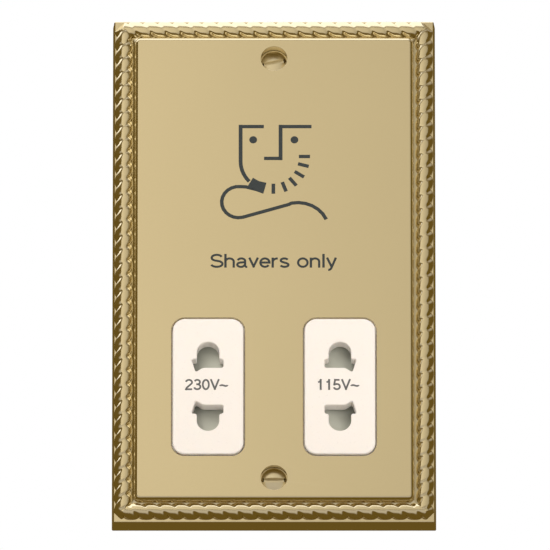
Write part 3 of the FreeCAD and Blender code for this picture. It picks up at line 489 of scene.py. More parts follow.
# %% Lid and faces
face_y = -7.85
face_half = (9.4, 19.4)
face_corner = 3.3
face_edge = 0.4
lid_front = -6.25
lid_back = -4.25
lid_half_width = 34
lid_low = -54.5
lid_high = 36
lid_corner = 3.0
overlap = 0.5

moulding = block(
    "outlet_moulding",
    (-lid_half_width, lid_front, lid_low),
    (lid_half_width, lid_back, lid_high),
)
round_edges(moulding, lid_corner, 8, is_along_y)
for side in (-1, 1):
    face = outlet_tool("face", face_half, face_corner, face_y, lid_front + overlap, side)
    round_edges(face, face_edge, 6, lambda one, other: both_at_y(one, other, face_y))
    combine(moulding, face, "UNION")

# %% Pin openings
pin_radius = 2.95
pin_height = 9.75
bar_left = -4.05
bar_low = 5.36
bar_high = 7.8
opening_edge = 0.55
opening_depth = 8


def opening_outline(side, row):
    """The corners of one pin opening, in millimetres from its outlet's centre."""
    arc = [math.radians(angle) for angle in range(0, 181, 12)]
    points = [
        (pin_radius * math.cos(angle), pin_height + pin_radius * math.sin(angle)) for angle in arc
    ]
    points += [(-pin_radius, bar_high), (bar_left, bar_high), (bar_left, bar_low)]
    points += [(1.4, bar_low), (3.3, 4.1), (4.4, bar_high), (pin_radius, bar_high)]
    return [(side * x, row * z) for x, z in points]


def opening_tool(side, row):
    points = opening_outline(side, row)
    bpy.ops.mesh.primitive_circle_add(vertices=len(points), fill_type="NGON")
    tool = start_piece("opening_tool")
    for vertex, (x, z) in zip(tool.data.vertices, points):
        vertex.co = Vector((side * outlet_x + x, cutter_front, outlet_z + z)) * mm
    corners = points[-7:]

    def at_corner(place):
        return any(
            math.hypot(place.x - side * outlet_x - x, place.z - outlet_z - z) < 0.01
            for x, z in corners
        )

    choose(tool, "VERT", at_corner)
    bpy.ops.mesh.bevel(offset=opening_edge * mm, segments=5, affect="VERTICES")
    bpy.ops.mesh.select_all(action="SELECT")
    push(opening_depth)
    bpy.ops.mesh.select_all(action="SELECT")
    bpy.ops.mesh.normals_make_consistent(inside=False)
    done()
    return tool


for side in (-1, 1):
    for row in (-1, 1):
        combine(moulding, opening_tool(side, row), "DIFFERENCE")


def in_opening(point):
    return abs(abs(point.x) - outlet_x) < 4.6 and 4 < abs(point.z - outlet_z) < 12.8


round_edges(
    moulding,
    opening_edge,
    5,
    lambda one, other: both_at_y(one, other, face_y) and in_opening(one) and in_opening(other),
)

# %% Rails and pillars behind the lid
rail_half_length = 26
rail_back = -0.65
rail_heights = ((-15.0, -13.5), (13.5, 15.0))
pillar_x = 29.7
pillar_z = (-50.2, 31.7)
pillar_radius = 2.3
pillar_back = 30
pilot_radius = 1.1
pilot_depth = 10

for low, high in rail_heights:
    rail = block(
        "rail",
        (-rail_half_length, lid_back - overlap, outlet_z + low),
        (rail_half_length, rail_back, outlet_z + high),
    )
    combine(moulding, rail, "UNION")
for x in (-pillar_x, pillar_x):
    for z in pillar_z:
        pillar = rod("pillar", (x, z), pillar_radius, lid_back - overlap, pillar_back, 32)
        combine(moulding, pillar, "UNION")
        pilot = rod("pilot", (x, z), pilot_radius, pillar_back - pilot_depth, pillar_back + 1, 24)
        combine(moulding, pilot, "DIFFERENCE")
shade(moulding)
print("moulding faces:", len(moulding.data.polygons))

# %% [markdown]
# ## The screws
#
# Two slotted screws with raised heads hold the plate. A head starts as a cylinder whose front face
# is inset and moved forward again and again along a shallow arc, which gives the dome. The slot is
# cut with a block. The thread is a small zigzag wound by the Screw modifier.

# %% A screw's head and shank
head_radius = 3.2
head_dome = 0.6
head_rim = 0.15
head_cone = 1.15
shank_radius = 1.5
shank_back = -0.3
slot_half = 0.5
slot_depth = 1.1
slot_lip = 0.1


def screw_head(front):
    """A domed and slotted head on a short shank, along Y."""
    rim_y = front + head_dome
    head = rod("head", (0, 0), head_radius, rim_y, rim_y + head_rim, 72)
    choose(head, "FACE", lambda place, normal: normal.y < -0.9)
    dome_radius = (head_radius**2 + head_dome**2) / (2 * head_dome)
    last_reach = head_radius
    last_height = 0.0
    for step in range(1, 8):
        reach = head_radius * math.cos(math.radians(step * 12.5))
        height = math.sqrt(dome_radius**2 - reach**2) - (dome_radius - head_dome)
        bpy.ops.mesh.inset(thickness=(last_reach - reach) * mm)
        bpy.ops.transform.translate(value=(0, (last_height - height) * mm, 0))
        last_reach, last_height = reach, height
    done()
    choose(head, "FACE", lambda place, normal: normal.y > 0.9)
    push(head_cone)
    share = shank_radius / head_radius
    bpy.ops.transform.resize(value=(share, 1, share))
    push(shank_back - head_cone - head_rim - rim_y)
    done()
    slot_low, slot_high = (-4, front - 1, -slot_half), (4, front + slot_depth, slot_half)
    combine(head, block("slot", slot_low, slot_high), "DIFFERENCE")

    def on_slot_lip(one, other):
        return (
            max(one.y, other.y) < rim_y + 0.02
            and abs(abs(one.z) - slot_half) < 0.01
            and abs(one.z - other.z) < 0.01
        )

    round_edges(head, slot_lip, 3, on_slot_lip)
    return head


# %% A screw's thread
thread_pitch = 0.6
thread_root = 1.3
thread_crest = 1.75
core_radius = 1.35
core_front = -0.5
tip_gap = 0.3
tip_round = 0.3


def screw_thread(back):
    """A zigzag edge wound round Y as far as the screw's back end."""
    bpy.ops.mesh.primitive_plane_add(size=1 * mm)
    thread = start_piece("thread")
    zigzag = (
        (thread_root, 0, 0),
        (thread_root, 0, thread_pitch),
        (thread_crest, 0, thread_pitch / 2),
        (thread_root, 0, 0.01),
    )
    for vertex, place in zip(thread.data.vertices, zigzag):
        vertex.co = Vector(place) * mm
    choose(thread, "VERT", lambda place: True)
    bpy.ops.mesh.delete(type="ONLY_FACE")
    done()
    finish_with(
        thread,
        "SCREW",
        axis="Z",
        angle=2 * math.pi,
        screw_offset=thread_pitch * mm,
        iterations=int((back - shank_back) / thread_pitch) - 1,
        steps=24,
        render_steps=24,
    )
    thread.rotation_euler.x = -math.pi / 2
    settle(thread)
    return thread


# %% Two whole screws
screw_places = {"fixing_screw_top": (screw_z, 12.0), "fixing_screw_bottom": (-screw_z, 0.0)}
screws = {}
for name, (z, turn) in screw_places.items():
    front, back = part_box(name)[0].y / mm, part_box(name)[1].y / mm
    head = screw_head(front)
    thread = screw_thread(back)
    tip = back - tip_gap
    shank = rod("shank", (0, 0), core_radius, core_front, tip, 32)
    round_edges(shank, tip_round, 2, lambda one, other: both_at_y(one, other, tip))
    screw = join(name + "_brass", [head, shank, thread])
    screw.rotation_euler.y = -math.radians(turn)
    screw.location.z = z * mm
    settle(screw)
    shade(screw, 35)
    screws[name] = screw
    print(screw.name, "faces:", len(screw.data.polygons))

# %% [markdown]
# ## Printed marks
#
# The marks are thin ink. Each is drawn with strokes, as a sign painter would: a curve with a round
# bevel, made a mesh and pressed flat, so each stroke is equally wide and ends square. A path with
# a sharp corner becomes two strokes that overlap there. The letters are the plain ones without
# serifs that such plates carry. Each is a few straight lines and bows, with 1 the height of a
# capital.

# %% Strokes of ink
ink_rise = 0.02
sharp_turn = math.radians(75)


def beyond(start, end, extra):
    """The point that lies a little past the end of a line."""
    start, end = Vector(start), Vector(end)
    return tuple(end + (end - start).normalized() * extra)


def runs(points, width):
    """Cuts a path at its sharp corners, where both parts then reach half a width further."""
    parts = [[points[0]]]
    for before, corner, after in zip(points, points[1:], points[2:]):
        arriving, leaving = Vector(corner) - Vector(before), Vector(after) - Vector(corner)
        if arriving.angle(leaving, 0) > sharp_turn:
            parts[-1].append(beyond(before, corner, width / 2))
            parts.append([beyond(after, corner, width / 2)])
        else:
            parts[-1].append(corner)
    parts[-1].append(points[-1])
    return parts


def stroke(points, surface_y, width, closed=False):
    """A flat ink line through points (x, z) in millimetres."""
    curve = bpy.data.curves.new("stroke", "CURVE")
    curve.dimensions = "3D"
    curve.bevel_depth = width / 2 * mm
    curve.bevel_resolution = 3
    curve.use_fill_caps = True
    for run in [points] if closed else runs(points, width):
        spline = curve.splines.new("POLY")
        spline.points.add(len(run) - 1)
        for point, (x, z) in zip(spline.points, run):
            point.co = (x * mm, 0, z * mm, 1)
        spline.use_cyclic_u = closed
    line = bpy.data.objects.new("stroke", curve)
    bpy.context.scene.collection.objects.link(line)
    select_only(line)
    bpy.ops.object.convert(target="MESH")
    line = bpy.context.object
    for vertex in line.data.vertices:
        vertex.co.y = surface_y * mm + vertex.co.y * 2 * ink_rise / width
    bpy.ops.object.select_all(action="DESELECT")
    return line


def bow(x, z, across, up, start, end):
    """Points on part of an ellipse, from one angle to another."""
    steps = max(6, round(abs(end - start) / 15))
    angles = [math.radians(start + (end - start) * step / steps) for step in range(steps + 1)]
    return [(x + across * math.cos(angle), z + up * math.sin(angle)) for angle in angles]


def ring(x, z, across, up):
    """A closed ellipse, marked as closed by ending where it starts."""
    return bow(x, z, across, up, 0, 360)


# %% Letters and figures, each with its advance and its paths
letters = {
    "S": (0.74, [bow(0.36, 0.72, 0.26, 0.215, 18, 242) + bow(0.36, 0.275, 0.29, 0.215, 62, -163)]),
    "h": (0.62, [[(0.06, 0), (0.06, 1)], bow(0.27, 0.44, 0.21, 0.23, 180, 0) + [(0.48, 0)]]),
    "a": (
        0.62,
        [
            bow(0.25, 0.49, 0.19, 0.18, 165, 0) + [(0.44, 0.12), (0.49, 0.05), (0.55, 0.06)],
            [(0.44, 0.42), (0.36, 0.39)] + bow(0.23, 0.215, 0.19, 0.16, 90, 300) + [(0.44, 0.22)],
        ],
    ),
    "v": (0.54, [[(0.03, 0.73), (0.25, 0.09), (0.47, 0.73)]]),
    "e": (0.62, [[(0.06, 0.37), (0.51, 0.37)] + bow(0.285, 0.365, 0.23, 0.305, 8, 325)]),
    "r": (0.40, [[(0.06, 0), (0.06, 0.73)], bow(0.28, 0.40, 0.22, 0.265, 180, 80)]),
    "s": (0.56, [bow(0.25, 0.53, 0.18, 0.14, 20, 240) + bow(0.26, 0.20, 0.2, 0.14, 62, -165)]),
    " ": (0.34, []),
    "o": (0.64, [ring(0.29, 0.365, 0.24, 0.305)]),
    "n": (0.62, [[(0.06, 0), (0.06, 0.73)], bow(0.27, 0.44, 0.21, 0.23, 180, 0) + [(0.48, 0)]]),
    "l": (0.24, [[(0.08, 0), (0.08, 1)]]),
    "y": (
        0.52,
        [
            [(0.02, 0.73), (0.255, 0.05)],
            [(0.47, 0.73), (0.23, -0.05)] + bow(0.1, -0.02, 0.12, 0.14, -30, -100),
        ],
    ),
    "0": (0.60, [ring(0.28, 0.5, 0.215, 0.435)]),
    "1": (0.60, [[(0.13, 0.72), (0.26, 0.77), (0.32, 0.92), (0.32, 0)]]),
    "2": (
        0.60,
        [bow(0.28, 0.70, 0.215, 0.235, 168, -25) + [(0.12, 0.21), (0.07, 0.065), (0.5, 0.065)]],
    ),
    "3": (0.60, [bow(0.27, 0.73, 0.19, 0.205, 160, -90) + bow(0.27, 0.295, 0.22, 0.23, 75, -165)]),
    "5": (
        0.60,
        [[(0.46, 0.935), (0.14, 0.935), (0.09, 0.5)] + bow(0.27, 0.31, 0.215, 0.245, 130, -165)],
    ),
    "V": (0.66, [[(0.03, 1), (0.32, 0.09), (0.61, 1)]]),
    "~": (0.62, [bow(0.17, 0.36, 0.13, 0.09, 180, 50) + bow(0.43, 0.46, 0.13, 0.09, 230, 360)]),
}


def words(name, text, left, right, low, high, surface_y, width):
    """Text drawn with strokes to fill the given width and cap height, in millimetres."""
    advance = sum(letters[letter][0] for letter in text)
    across = (right - left) / (advance - 0.1)
    cursor = 0.0
    strokes = []
    for letter in text:
        for points in letters[letter][1]:
            closed = math.dist(points[0], points[-1]) < 1e-6
            path = points[:-1] if closed else points
            placed = [(left + (cursor + x) * across, low + z * (high - low)) for x, z in path]
            strokes.append(stroke(placed, surface_y, width, closed))
        cursor += letters[letter][0]
    return join(name, strokes)


purpose_width = 0.64
voltage_width = 0.52
purpose = words(
    "print_purpose", "Shavers only", -17.1, 16.2, -0.1, 3.85, -panel_height, purpose_width
)
voltage_left = words("print_left", "230V~", -23.6, -12.5, -35.4, -32.3, face_y, voltage_width)
voltage_right = words("print_right", "115V~", 11.2, 22.3, -35.4, -32.3, face_y, voltage_width)
print("letters drawn, faces:", len(purpose.data.polygons))

# %% The sign for shaving
sign_width = 1.03
tick_centre = (-0.1, 31.95)
tick_sizes = ((6.72, 7.85), (9.7, 10.75))
tick_angles = (0, -15.5, -33.5, -51.5, -70, -90.5)


def mark(points):
    return stroke(points, -panel_height, sign_width)


def filled(points):
    """A solid patch of ink with the given corners, kept as thick as the strokes."""
    bpy.ops.mesh.primitive_circle_add(vertices=len(points), fill_type="NGON")
    shape = start_piece("filled")
    for vertex, (x, z) in zip(shape.data.vertices, points):
        vertex.co = Vector((x, -panel_height - ink_rise, z)) * mm
    choose(shape, "FACE", lambda place, normal: True)
    push(ink_rise)
    bpy.ops.mesh.select_all(action="SELECT")
    bpy.ops.mesh.normals_make_consistent(inside=False)
    done()
    return shape


def dot(x, z, radius):
    return rod("dot", (x, z), radius, -panel_height - ink_rise, -panel_height + ink_rise, 32)


strokes = [
    mark([(-2.7, 40.6), (-8.9, 40.6), (-8.9, 30.5)] + bow(0.1, 30.5, 9.0, 8.6, 187, 222)),
    mark([(10.0, 40.6), (1.75, 40.6), (1.75, 31.4), (-2.66, 31.4)]),
    mark(
        [(-5.0, 22.5), (-7.5, 23.18)]
        + bow(-9.43, 18.78, 4.5, 4.5, 84, 284)
        + [(4.0, 18.12)]
        + bow(6.3, 10.9, 8.2, 7.75, 102, 22)
    ),
    filled([(-5.6, 25.8), (-4.0, 24.85), (-2.0, 24.35), (-2.85, 21.2), (-7.3, 22.9)]),
    dot(-5.55, 36.77, 1.04),
    dot(5.44, 36.77, 1.04),
]
for angle in tick_angles:
    inner, outer = [bow(*tick_centre, *size, angle, angle)[0] for size in tick_sizes]
    strokes.append(mark([inner, outer]))
sign = join("print_sign", strokes)
print("sign faces:", len(sign.data.polygons))

# %% [markdown]
# ## Materials
#
# A finish is built from a few effects that several materials share, so each effect is a node group
# with named sockets: slow changes of tone, fine grain that lifts the surface a little, and edges
# that handling has brightened. Each material then places the groups with its own values. What is
# the same all over a surface is set on the shader itself.


# %% Node helpers
def new_group(name, inputs, outputs):
    """An empty shader node group with the given sockets: (name, kind, value)."""
    group = bpy.data.node_groups.new(name, "ShaderNodeTree")
    for label, kind, value in inputs:
        socket = group.interface.new_socket(label, in_out="INPUT", socket_type=kind)
        socket.default_value = value
    for label, kind in outputs:
        group.interface.new_socket(label, in_out="OUTPUT", socket_type=kind)
    return group, group.nodes.new("NodeGroupInput"), group.nodes.new("NodeGroupOutput")


def node(tree, kind, **settings):
    made = tree.nodes.new(kind)
    for setting, value in settings.items():
        setattr(made, setting, value)
    return made


def math_node(tree, operation, first, second=None, clamp=False):
    made = node(tree, "ShaderNodeMath", operation=operation, use_clamp=clamp)
    for socket, value in zip(made.inputs, (first, second)):
        if value is None:
            continue
        if isinstance(value, (int, float)):
            socket.default_value = value
        else:
            tree.links.new(value, socket)
    return made.outputs[0]


def mix_colour(tree, share, first, second):
    made = node(tree, "ShaderNodeMix", data_type="RGBA")
    sockets = (made.inputs[0], made.inputs[6], made.inputs[7])
    for socket, value in zip(sockets, (share, first, second)):
        if isinstance(value, bpy.types.NodeSocket):
            tree.links.new(value, socket)
        else:
            socket.default_value = value
    return made.outputs[2]


COLOUR = "NodeSocketColor"
NUMBER = "NodeSocketFloat"
VECTOR = "NodeSocketVector"

# %% Group: slow changes of tone
tone_group, given, result = new_group(
    "tone_drift",
    [("Color", COLOUR, (0.8, 0.8, 0.8, 1)), ("Amount", NUMBER, 0.1), ("Scale", NUMBER, 30.0)],
    [("Color", COLOUR), ("Mask", NUMBER)],
)
place = node(tone_group, "ShaderNodeTexCoord")
cloud = node(tone_group, "ShaderNodeTexNoise", noise_dimensions="3D")
cloud.inputs["Detail"].default_value = 4
tone_group.links.new(place.outputs["Object"], cloud.inputs["Vector"])
tone_group.links.new(given.outputs["Scale"], cloud.inputs["Scale"])
swing = math_node(tone_group, "SUBTRACT", cloud.outputs["Fac"], 0.5)
swing = math_node(tone_group, "MULTIPLY", swing, given.outputs["Amount"])
level = math_node(tone_group, "ADD", swing, 1.0)
scaled = node(tone_group, "ShaderNodeVectorMath", operation="SCALE")
tone_group.links.new(given.outputs["Color"], scaled.inputs[0])
tone_group.links.new(level, scaled.inputs["Scale"])
tone_group.links.new(scaled.outputs[0], result.inputs["Color"])
tone_group.links.new(cloud.outputs["Fac"], result.inputs["Mask"])

# %% Group: fine grain
grain_group, given, result = new_group(
    "fine_grain",
    [("Scale", NUMBER, 2000.0), ("Stretch", VECTOR, (1, 1, 1)), ("Strength", NUMBER, 1.0)],
    [("Height", NUMBER), ("Roughness", NUMBER)],
)
place = node(grain_group, "ShaderNodeTexCoord")
stretched = node(grain_group, "ShaderNodeVectorMath", operation="MULTIPLY")
grain_group.links.new(place.outputs["Object"], stretched.inputs[0])
grain_group.links.new(given.outputs["Stretch"], stretched.inputs[1])
speck = node(grain_group, "ShaderNodeTexNoise", noise_dimensions="3D")
speck.inputs["Detail"].default_value = 3
grain_group.links.new(stretched.outputs[0], speck.inputs["Vector"])
grain_group.links.new(given.outputs["Scale"], speck.inputs["Scale"])
height = math_node(grain_group, "MULTIPLY", speck.outputs["Fac"], given.outputs["Strength"])
grain_group.links.new(height, result.inputs["Height"])
swing = math_node(grain_group, "SUBTRACT", speck.outputs["Fac"], 0.5)
grain_group.links.new(swing, result.inputs["Roughness"])

# %% Group: edges brightened by handling, hollows darkened as tarnish and painted shade
wear_and_shade_group, given, result = new_group(
    "edge_wear_and_hollow_shade",
    [
        ("Color", COLOUR, (0.8, 0.8, 0.8, 1)),
        ("Edge Color", COLOUR, (0.9, 0.9, 0.9, 1)),
        ("Hollow Color", COLOUR, (0.3, 0.3, 0.3, 1)),
        ("Edge", NUMBER, 0.3),
        ("Hollow", NUMBER, 0.5),
    ],
    [("Color", COLOUR), ("Edge Mask", NUMBER), ("Hollow Mask", NUMBER)],
)
shape = node(wear_and_shade_group, "ShaderNodeNewGeometry")


def pointiness_mask(low, high):
    ramp = node(wear_and_shade_group, "ShaderNodeMapRange", interpolation_type="SMOOTHSTEP")
    wear_and_shade_group.links.new(shape.outputs["Pointiness"], ramp.inputs["Value"])
    ramp.inputs["From Min"].default_value = low
    ramp.inputs["From Max"].default_value = high
    return ramp.outputs[0]


edge_mask = math_node(wear_and_shade_group, "MULTIPLY", pointiness_mask(0.52, 0.6), given.outputs["Edge"])
# Hollows are darkened by pointiness: partly tarnish, partly painted shade in creases and grooves.
hollow_shade_mask = math_node(
    wear_and_shade_group, "MULTIPLY", pointiness_mask(0.48, 0.4), given.outputs["Hollow"]
)
worn_and_shaded = mix_colour(wear_and_shade_group, edge_mask, given.outputs["Color"], given.outputs["Edge Color"])
worn_and_shaded = mix_colour(wear_and_shade_group, hollow_shade_mask, worn_and_shaded, given.outputs["Hollow Color"])
wear_and_shade_group.links.new(worn_and_shaded, result.inputs["Color"])
wear_and_shade_group.links.new(edge_mask, result.inputs["Edge Mask"])
wear_and_shade_group.links.new(hollow_shade_mask, result.inputs["Hollow Mask"])


# %% One function that builds a finish from the groups
def finish(
    name,
    colour,
    roughness,
    metallic=0.0,
    coat=0.0,
    drift=(0.06, 40.0),
    grain=(3000.0, (1, 1, 1), 0.1, 0.05),
    wear_and_shade=None,
    subsurface=0.0,
):
    """A Principled finish. grain is scale, stretch, lift and how much it changes roughness."""
    material = bpy.data.materials.new(name)
    material.use_nodes = True
    tree = material.node_tree
    shader = tree.nodes["Principled BSDF"]
    shader.inputs["Metallic"].default_value = metallic
    shader.inputs["Coat Weight"].default_value = coat
    shader.inputs["Coat Roughness"].default_value = 0.06
    if subsurface:
        shader.inputs["Subsurface Weight"].default_value = subsurface
        shader.inputs["Subsurface Radius"].default_value = (1.0, 0.8, 0.6)
        shader.inputs["Subsurface Scale"].default_value = 0.0015
    drifting = node(tree, "ShaderNodeGroup", node_tree=tone_group)
    drifting.inputs["Color"].default_value = (*colour, 1)
    drifting.inputs["Amount"].default_value = drift[0]
    drifting.inputs["Scale"].default_value = drift[1]
    shown = drifting.outputs["Color"]
    # These settings brighten worn edges and darken hollows, the darker hollows being partly tarnish
    # and partly painted shade.
    if wear_and_shade:
        wear_and_shade_node = node(tree, "ShaderNodeGroup", node_tree=wear_and_shade_group)
        tree.links.new(shown, wear_and_shade_node.inputs["Color"])
        wear_and_shade_node.inputs["Edge Color"].default_value = (*wear_and_shade[0], 1)
        wear_and_shade_node.inputs["Hollow Color"].default_value = (*wear_and_shade[1], 1)
        wear_and_shade_node.inputs["Edge"].default_value = wear_and_shade[2]
        wear_and_shade_node.inputs["Hollow"].default_value = wear_and_shade[3]
        shown = wear_and_shade_node.outputs["Color"]
    tree.links.new(shown, shader.inputs["Base Color"])
    graining = node(tree, "ShaderNodeGroup", node_tree=grain_group)
    graining.inputs["Scale"].default_value = grain[0]
    graining.inputs["Stretch"].default_value = grain[1]
    swing = math_node(tree, "MULTIPLY", graining.outputs["Roughness"], grain[3])
    tree.links.new(math_node(tree, "ADD", swing, roughness, clamp=True), shader.inputs["Roughness"])
    bump = node(tree, "ShaderNodeBump")
    bump.inputs["Strength"].default_value = grain[2]
    bump.inputs["Distance"].default_value = 0.02 * mm
    tree.links.new(graining.outputs["Height"], bump.inputs["Height"])
    tree.links.new(bump.outputs["Normal"], shader.inputs["Normal"])
    return material


# %% [markdown]
# Polished brass shows almost only what it mirrors. Its own colour is the tint of that mirror. The
# grooves of the rope are drawn darker, partly as tarnish and partly as painted shade, and edges
# where cloths rub are cleaner.

# %% The finishes
brass = finish(
    "polished_brass",
    (0.84, 0.755, 0.54),
    0.15,
    metallic=1.0,
    coat=0.15,
    drift=(0.05, 25.0),
    grain=(900.0, (1, 1, 1), 0.06, 0.06),
    # The second colour darkens the rope's grooves: tarnish and painted shade.
    wear_and_shade=((0.88, 0.80, 0.60), (0.58, 0.51, 0.36), 0.3, 0.4),
)
screw_brass = finish(
    "screw_brass",
    (0.88, 0.80, 0.60),
    0.3,
    metallic=1.0,
    drift=(0.08, 300.0),
    grain=(2500.0, (1, 1, 1), 0.15, 0.1),
    # The second colour darkens the slot and thread hollows: tarnish and painted shade.
    wear_and_shade=((0.92, 0.86, 0.68), (0.42, 0.34, 0.19), 0.5, 0.7),
)
white = finish(
    "white_plastic",
    (0.88, 0.855, 0.83),
    0.28,
    coat=0.25,
    drift=(0.02, 60.0),
    grain=(1800.0, (1, 1, 1), 0.05, 0.04),
    subsurface=0.15,
)
# The shutter is grey-white plastic. This darker grey-green colour is painted shade for its place
# deep in the openings.
shutter_painted_shade = finish(
    "shutter_plastic",
    (0.53, 0.56, 0.50),
    0.4,
    grain=(2500.0, (1, 1, 1), 0.1, 0.06),
)
carrier = finish("carrier_plastic", (0.72, 0.70, 0.65), 0.45)
housing = finish(
    "housing_plastic",
    (0.78, 0.77, 0.73),
    0.42,
    grain=(2200.0, (1, 1, 1), 0.5, 0.08),
    # The second colour darkens creases and hollows of the housing: painted shade.
    wear_and_shade=((0.86, 0.85, 0.82), (0.5, 0.49, 0.45), 0.5, 0.4),
)
bronze = finish(
    "contact_bronze",
    (0.74, 0.52, 0.30),
    0.3,
    metallic=1.0,
    drift=(0.15, 200.0),
    grain=(2500.0, (1, 0.1, 1), 0.2, 0.1),
)
spring = finish("spring_steel", (0.58, 0.58, 0.60), 0.25, metallic=1.0, drift=(0.1, 400.0))
zinc = finish(
    "zinc_steel",
    (0.66, 0.67, 0.70),
    0.32,
    metallic=1.0,
    drift=(0.15, 300.0),
    grain=(2000.0, (1, 1, 1), 0.2, 0.12),
)
laminate = finish("board_laminate", (0.46, 0.33, 0.12), 0.5, drift=(0.12, 150.0))
steel_core = finish(
    "core_steel",
    (0.14, 0.14, 0.15),
    0.45,
    metallic=0.6,
    drift=(0.2, 200.0),
    grain=(4000.0, (0.02, 1, 0.02), 1.0, 0.2),
)
nylon = finish("bobbin_nylon", (0.80, 0.77, 0.66), 0.35, subsurface=0.2)
copper = finish(
    "winding_copper",
    (0.62, 0.25, 0.09),
    0.3,
    metallic=0.8,
    coat=0.4,
    drift=(0.15, 150.0),
    grain=(2600.0, (0.05, 0.05, 1), 1.0, 0.1),
)
black = finish("switch_plastic", (0.03, 0.03, 0.032), 0.4)
ink = finish("print_ink", (0.026, 0.036, 0.041), 0.6, drift=(0.2, 600.0))
ink_grey = finish("print_ink_grey", (0.105, 0.112, 0.115), 0.6, drift=(0.2, 600.0))

# %% Give every piece its finish and its body
by_slot = {
    "polished_brass": brass,
    "screw_brass": screw_brass,
    "white_plastic": white,
    "shutter_plastic": shutter_painted_shade,
    "carrier_plastic": carrier,
    "contact_bronze": bronze,
    "spring_steel": spring,
    "zinc_steel": zinc,
    "core_steel": steel_core,
    "bobbin_nylon": nylon,
    "winding_copper": copper,
    "switch_plastic": black,
    "board_laminate": laminate,
    "housing_plastic": housing,
}


def wear_finish(piece, material):
    piece.data.materials.clear()
    piece.data.materials.append(material)


def install(piece, slot, *replaced):
    """A finished piece: its finish, its body and the CAD nodes it stands for."""
    wear_finish(piece, by_slot[slot])
    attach(piece, "socket")
    if replaced:
        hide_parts(*replaced)


for subpart in frame["record"]["subparts"]:
    wear_finish(nodes[subpart["node"]], by_slot[subpart["material_slot"]])
install(plate, "polished_brass", "faceplate")
for rope in ropes:
    install(rope, "polished_brass", "faceplate")
for name, screw in screws.items():
    install(screw, "screw_brass", name)
install(moulding, "white_plastic", "front_moulding")
for print_piece, material in (
    (purpose, ink),
    (sign, ink),
    (voltage_left, ink_grey),
    (voltage_right, ink_grey),
):
    wear_finish(print_piece, material)
    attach(print_piece, "socket")
    shade(print_piece, 40)

# %% [markdown]
# ## The studio
#
# Brass needs something to mirror. A dome that only mirrors can see stands round the plate. It is
# bright above, most of all to the upper left, which puts the white streaks on the rope. A weak
# patch low in front lifts the slopes that face down, and all the rest is a warm dark room, which
# gives the plate its brown flanks. Three soft lamps and the sky light what isn't a mirror. The
# background is white, and the floor can't be seen from below, where this camera stands.

# %% Dome for reflections
bpy.ops.mesh.primitive_uv_sphere_add(segments=64, ring_count=32, radius=0.8)
dome = start_piece("studio_dome")
dome.visible_camera = False
dome.visible_diffuse = False
dome.visible_shadow = False
dome.visible_volume_scatter = False
glow = bpy.data.materials.new("studio_dome")
glow.use_nodes = True
tree = glow.node_tree
tree.nodes.clear()
place = node(tree, "ShaderNodeTexCoord")
aim = node(tree, "ShaderNodeVectorMath", operation="NORMALIZE")
tree.links.new(place.outputs["Object"], aim.inputs[0])
direction = node(tree, "ShaderNodeSeparateXYZ")
tree.links.new(aim.outputs[0], direction.inputs[0])
degrees = 180 / math.pi
forward = math_node(tree, "MULTIPLY", direction.outputs["Y"], -1.0)
azimuth = math_node(tree, "ARCTAN2", direction.outputs["X"], forward)
azimuth = math_node(tree, "MULTIPLY", azimuth, degrees)
elevation = math_node(tree, "ARCSINE", direction.outputs["Z"])
elevation = math_node(tree, "MULTIPLY", elevation, degrees)


def window(value, low, high, soft):
    """1 between low and high, fading to 0 within soft of both."""
    rise = node(tree, "ShaderNodeMapRange", interpolation_type="SMOOTHSTEP")
    tree.links.new(value, rise.inputs["Value"])
    rise.inputs["From Min"].default_value = low - soft
    rise.inputs["From Max"].default_value = low + soft
    fall = node(tree, "ShaderNodeMapRange", interpolation_type="SMOOTHSTEP")
    tree.links.new(value, fall.inputs["Value"])
    fall.inputs["From Min"].default_value = high + soft
    fall.inputs["From Max"].default_value = high - soft
    return math_node(tree, "MULTIPLY", rise.outputs[0], fall.outputs[0])


def bright_patch(azimuths, elevations, soft, level):
    """A field of light between two azimuths and two elevations, in degrees."""
    across = window(azimuth, *azimuths, soft)
    up = window(elevation, *elevations, soft)
    return math_node(tree, "MULTIPLY", math_node(tree, "MULTIPLY", across, up), level)


leftward = math_node(tree, "ADD", window(direction.outputs["X"], -2, 0.3, 0.12), 0.3)
above = math_node(tree, "MULTIPLY", window(elevation, 45, 200, 12), leftward)
upper_left = bright_patch((-185, -55), (34, 200), 5, 1.3)
low_front = bright_patch((-40, 40), (-24, 8), 8, 0.42)
total = math_node(tree, "ADD", math_node(tree, "MAXIMUM", above, upper_left), low_front)
dark_room = (0.146, 0.096, 0.020, 1)
white_light = node(tree, "ShaderNodeCombineColor")
for channel in range(3):
    tree.links.new(total, white_light.inputs[channel])
lit = node(tree, "ShaderNodeMix", data_type="RGBA", blend_type="ADD")
lit.inputs[0].default_value = 1.0
lit.inputs[6].default_value = dark_room
tree.links.new(white_light.outputs[0], lit.inputs[7])
emission = node(tree, "ShaderNodeEmission")
tree.links.new(lit.outputs[2], emission.inputs["Color"])
output = node(tree, "ShaderNodeOutputMaterial")
tree.links.new(emission.outputs[0], output.inputs["Surface"])
wear_finish(dome, glow)

# %% [markdown]
# A pale card stands close in front, a little above the line of sight. The flat panel mirrors it
# from edge to edge and turns plain tan, and the round strands show it as a band along their crest.
# Its light fades towards the right, as the panel's tone does.

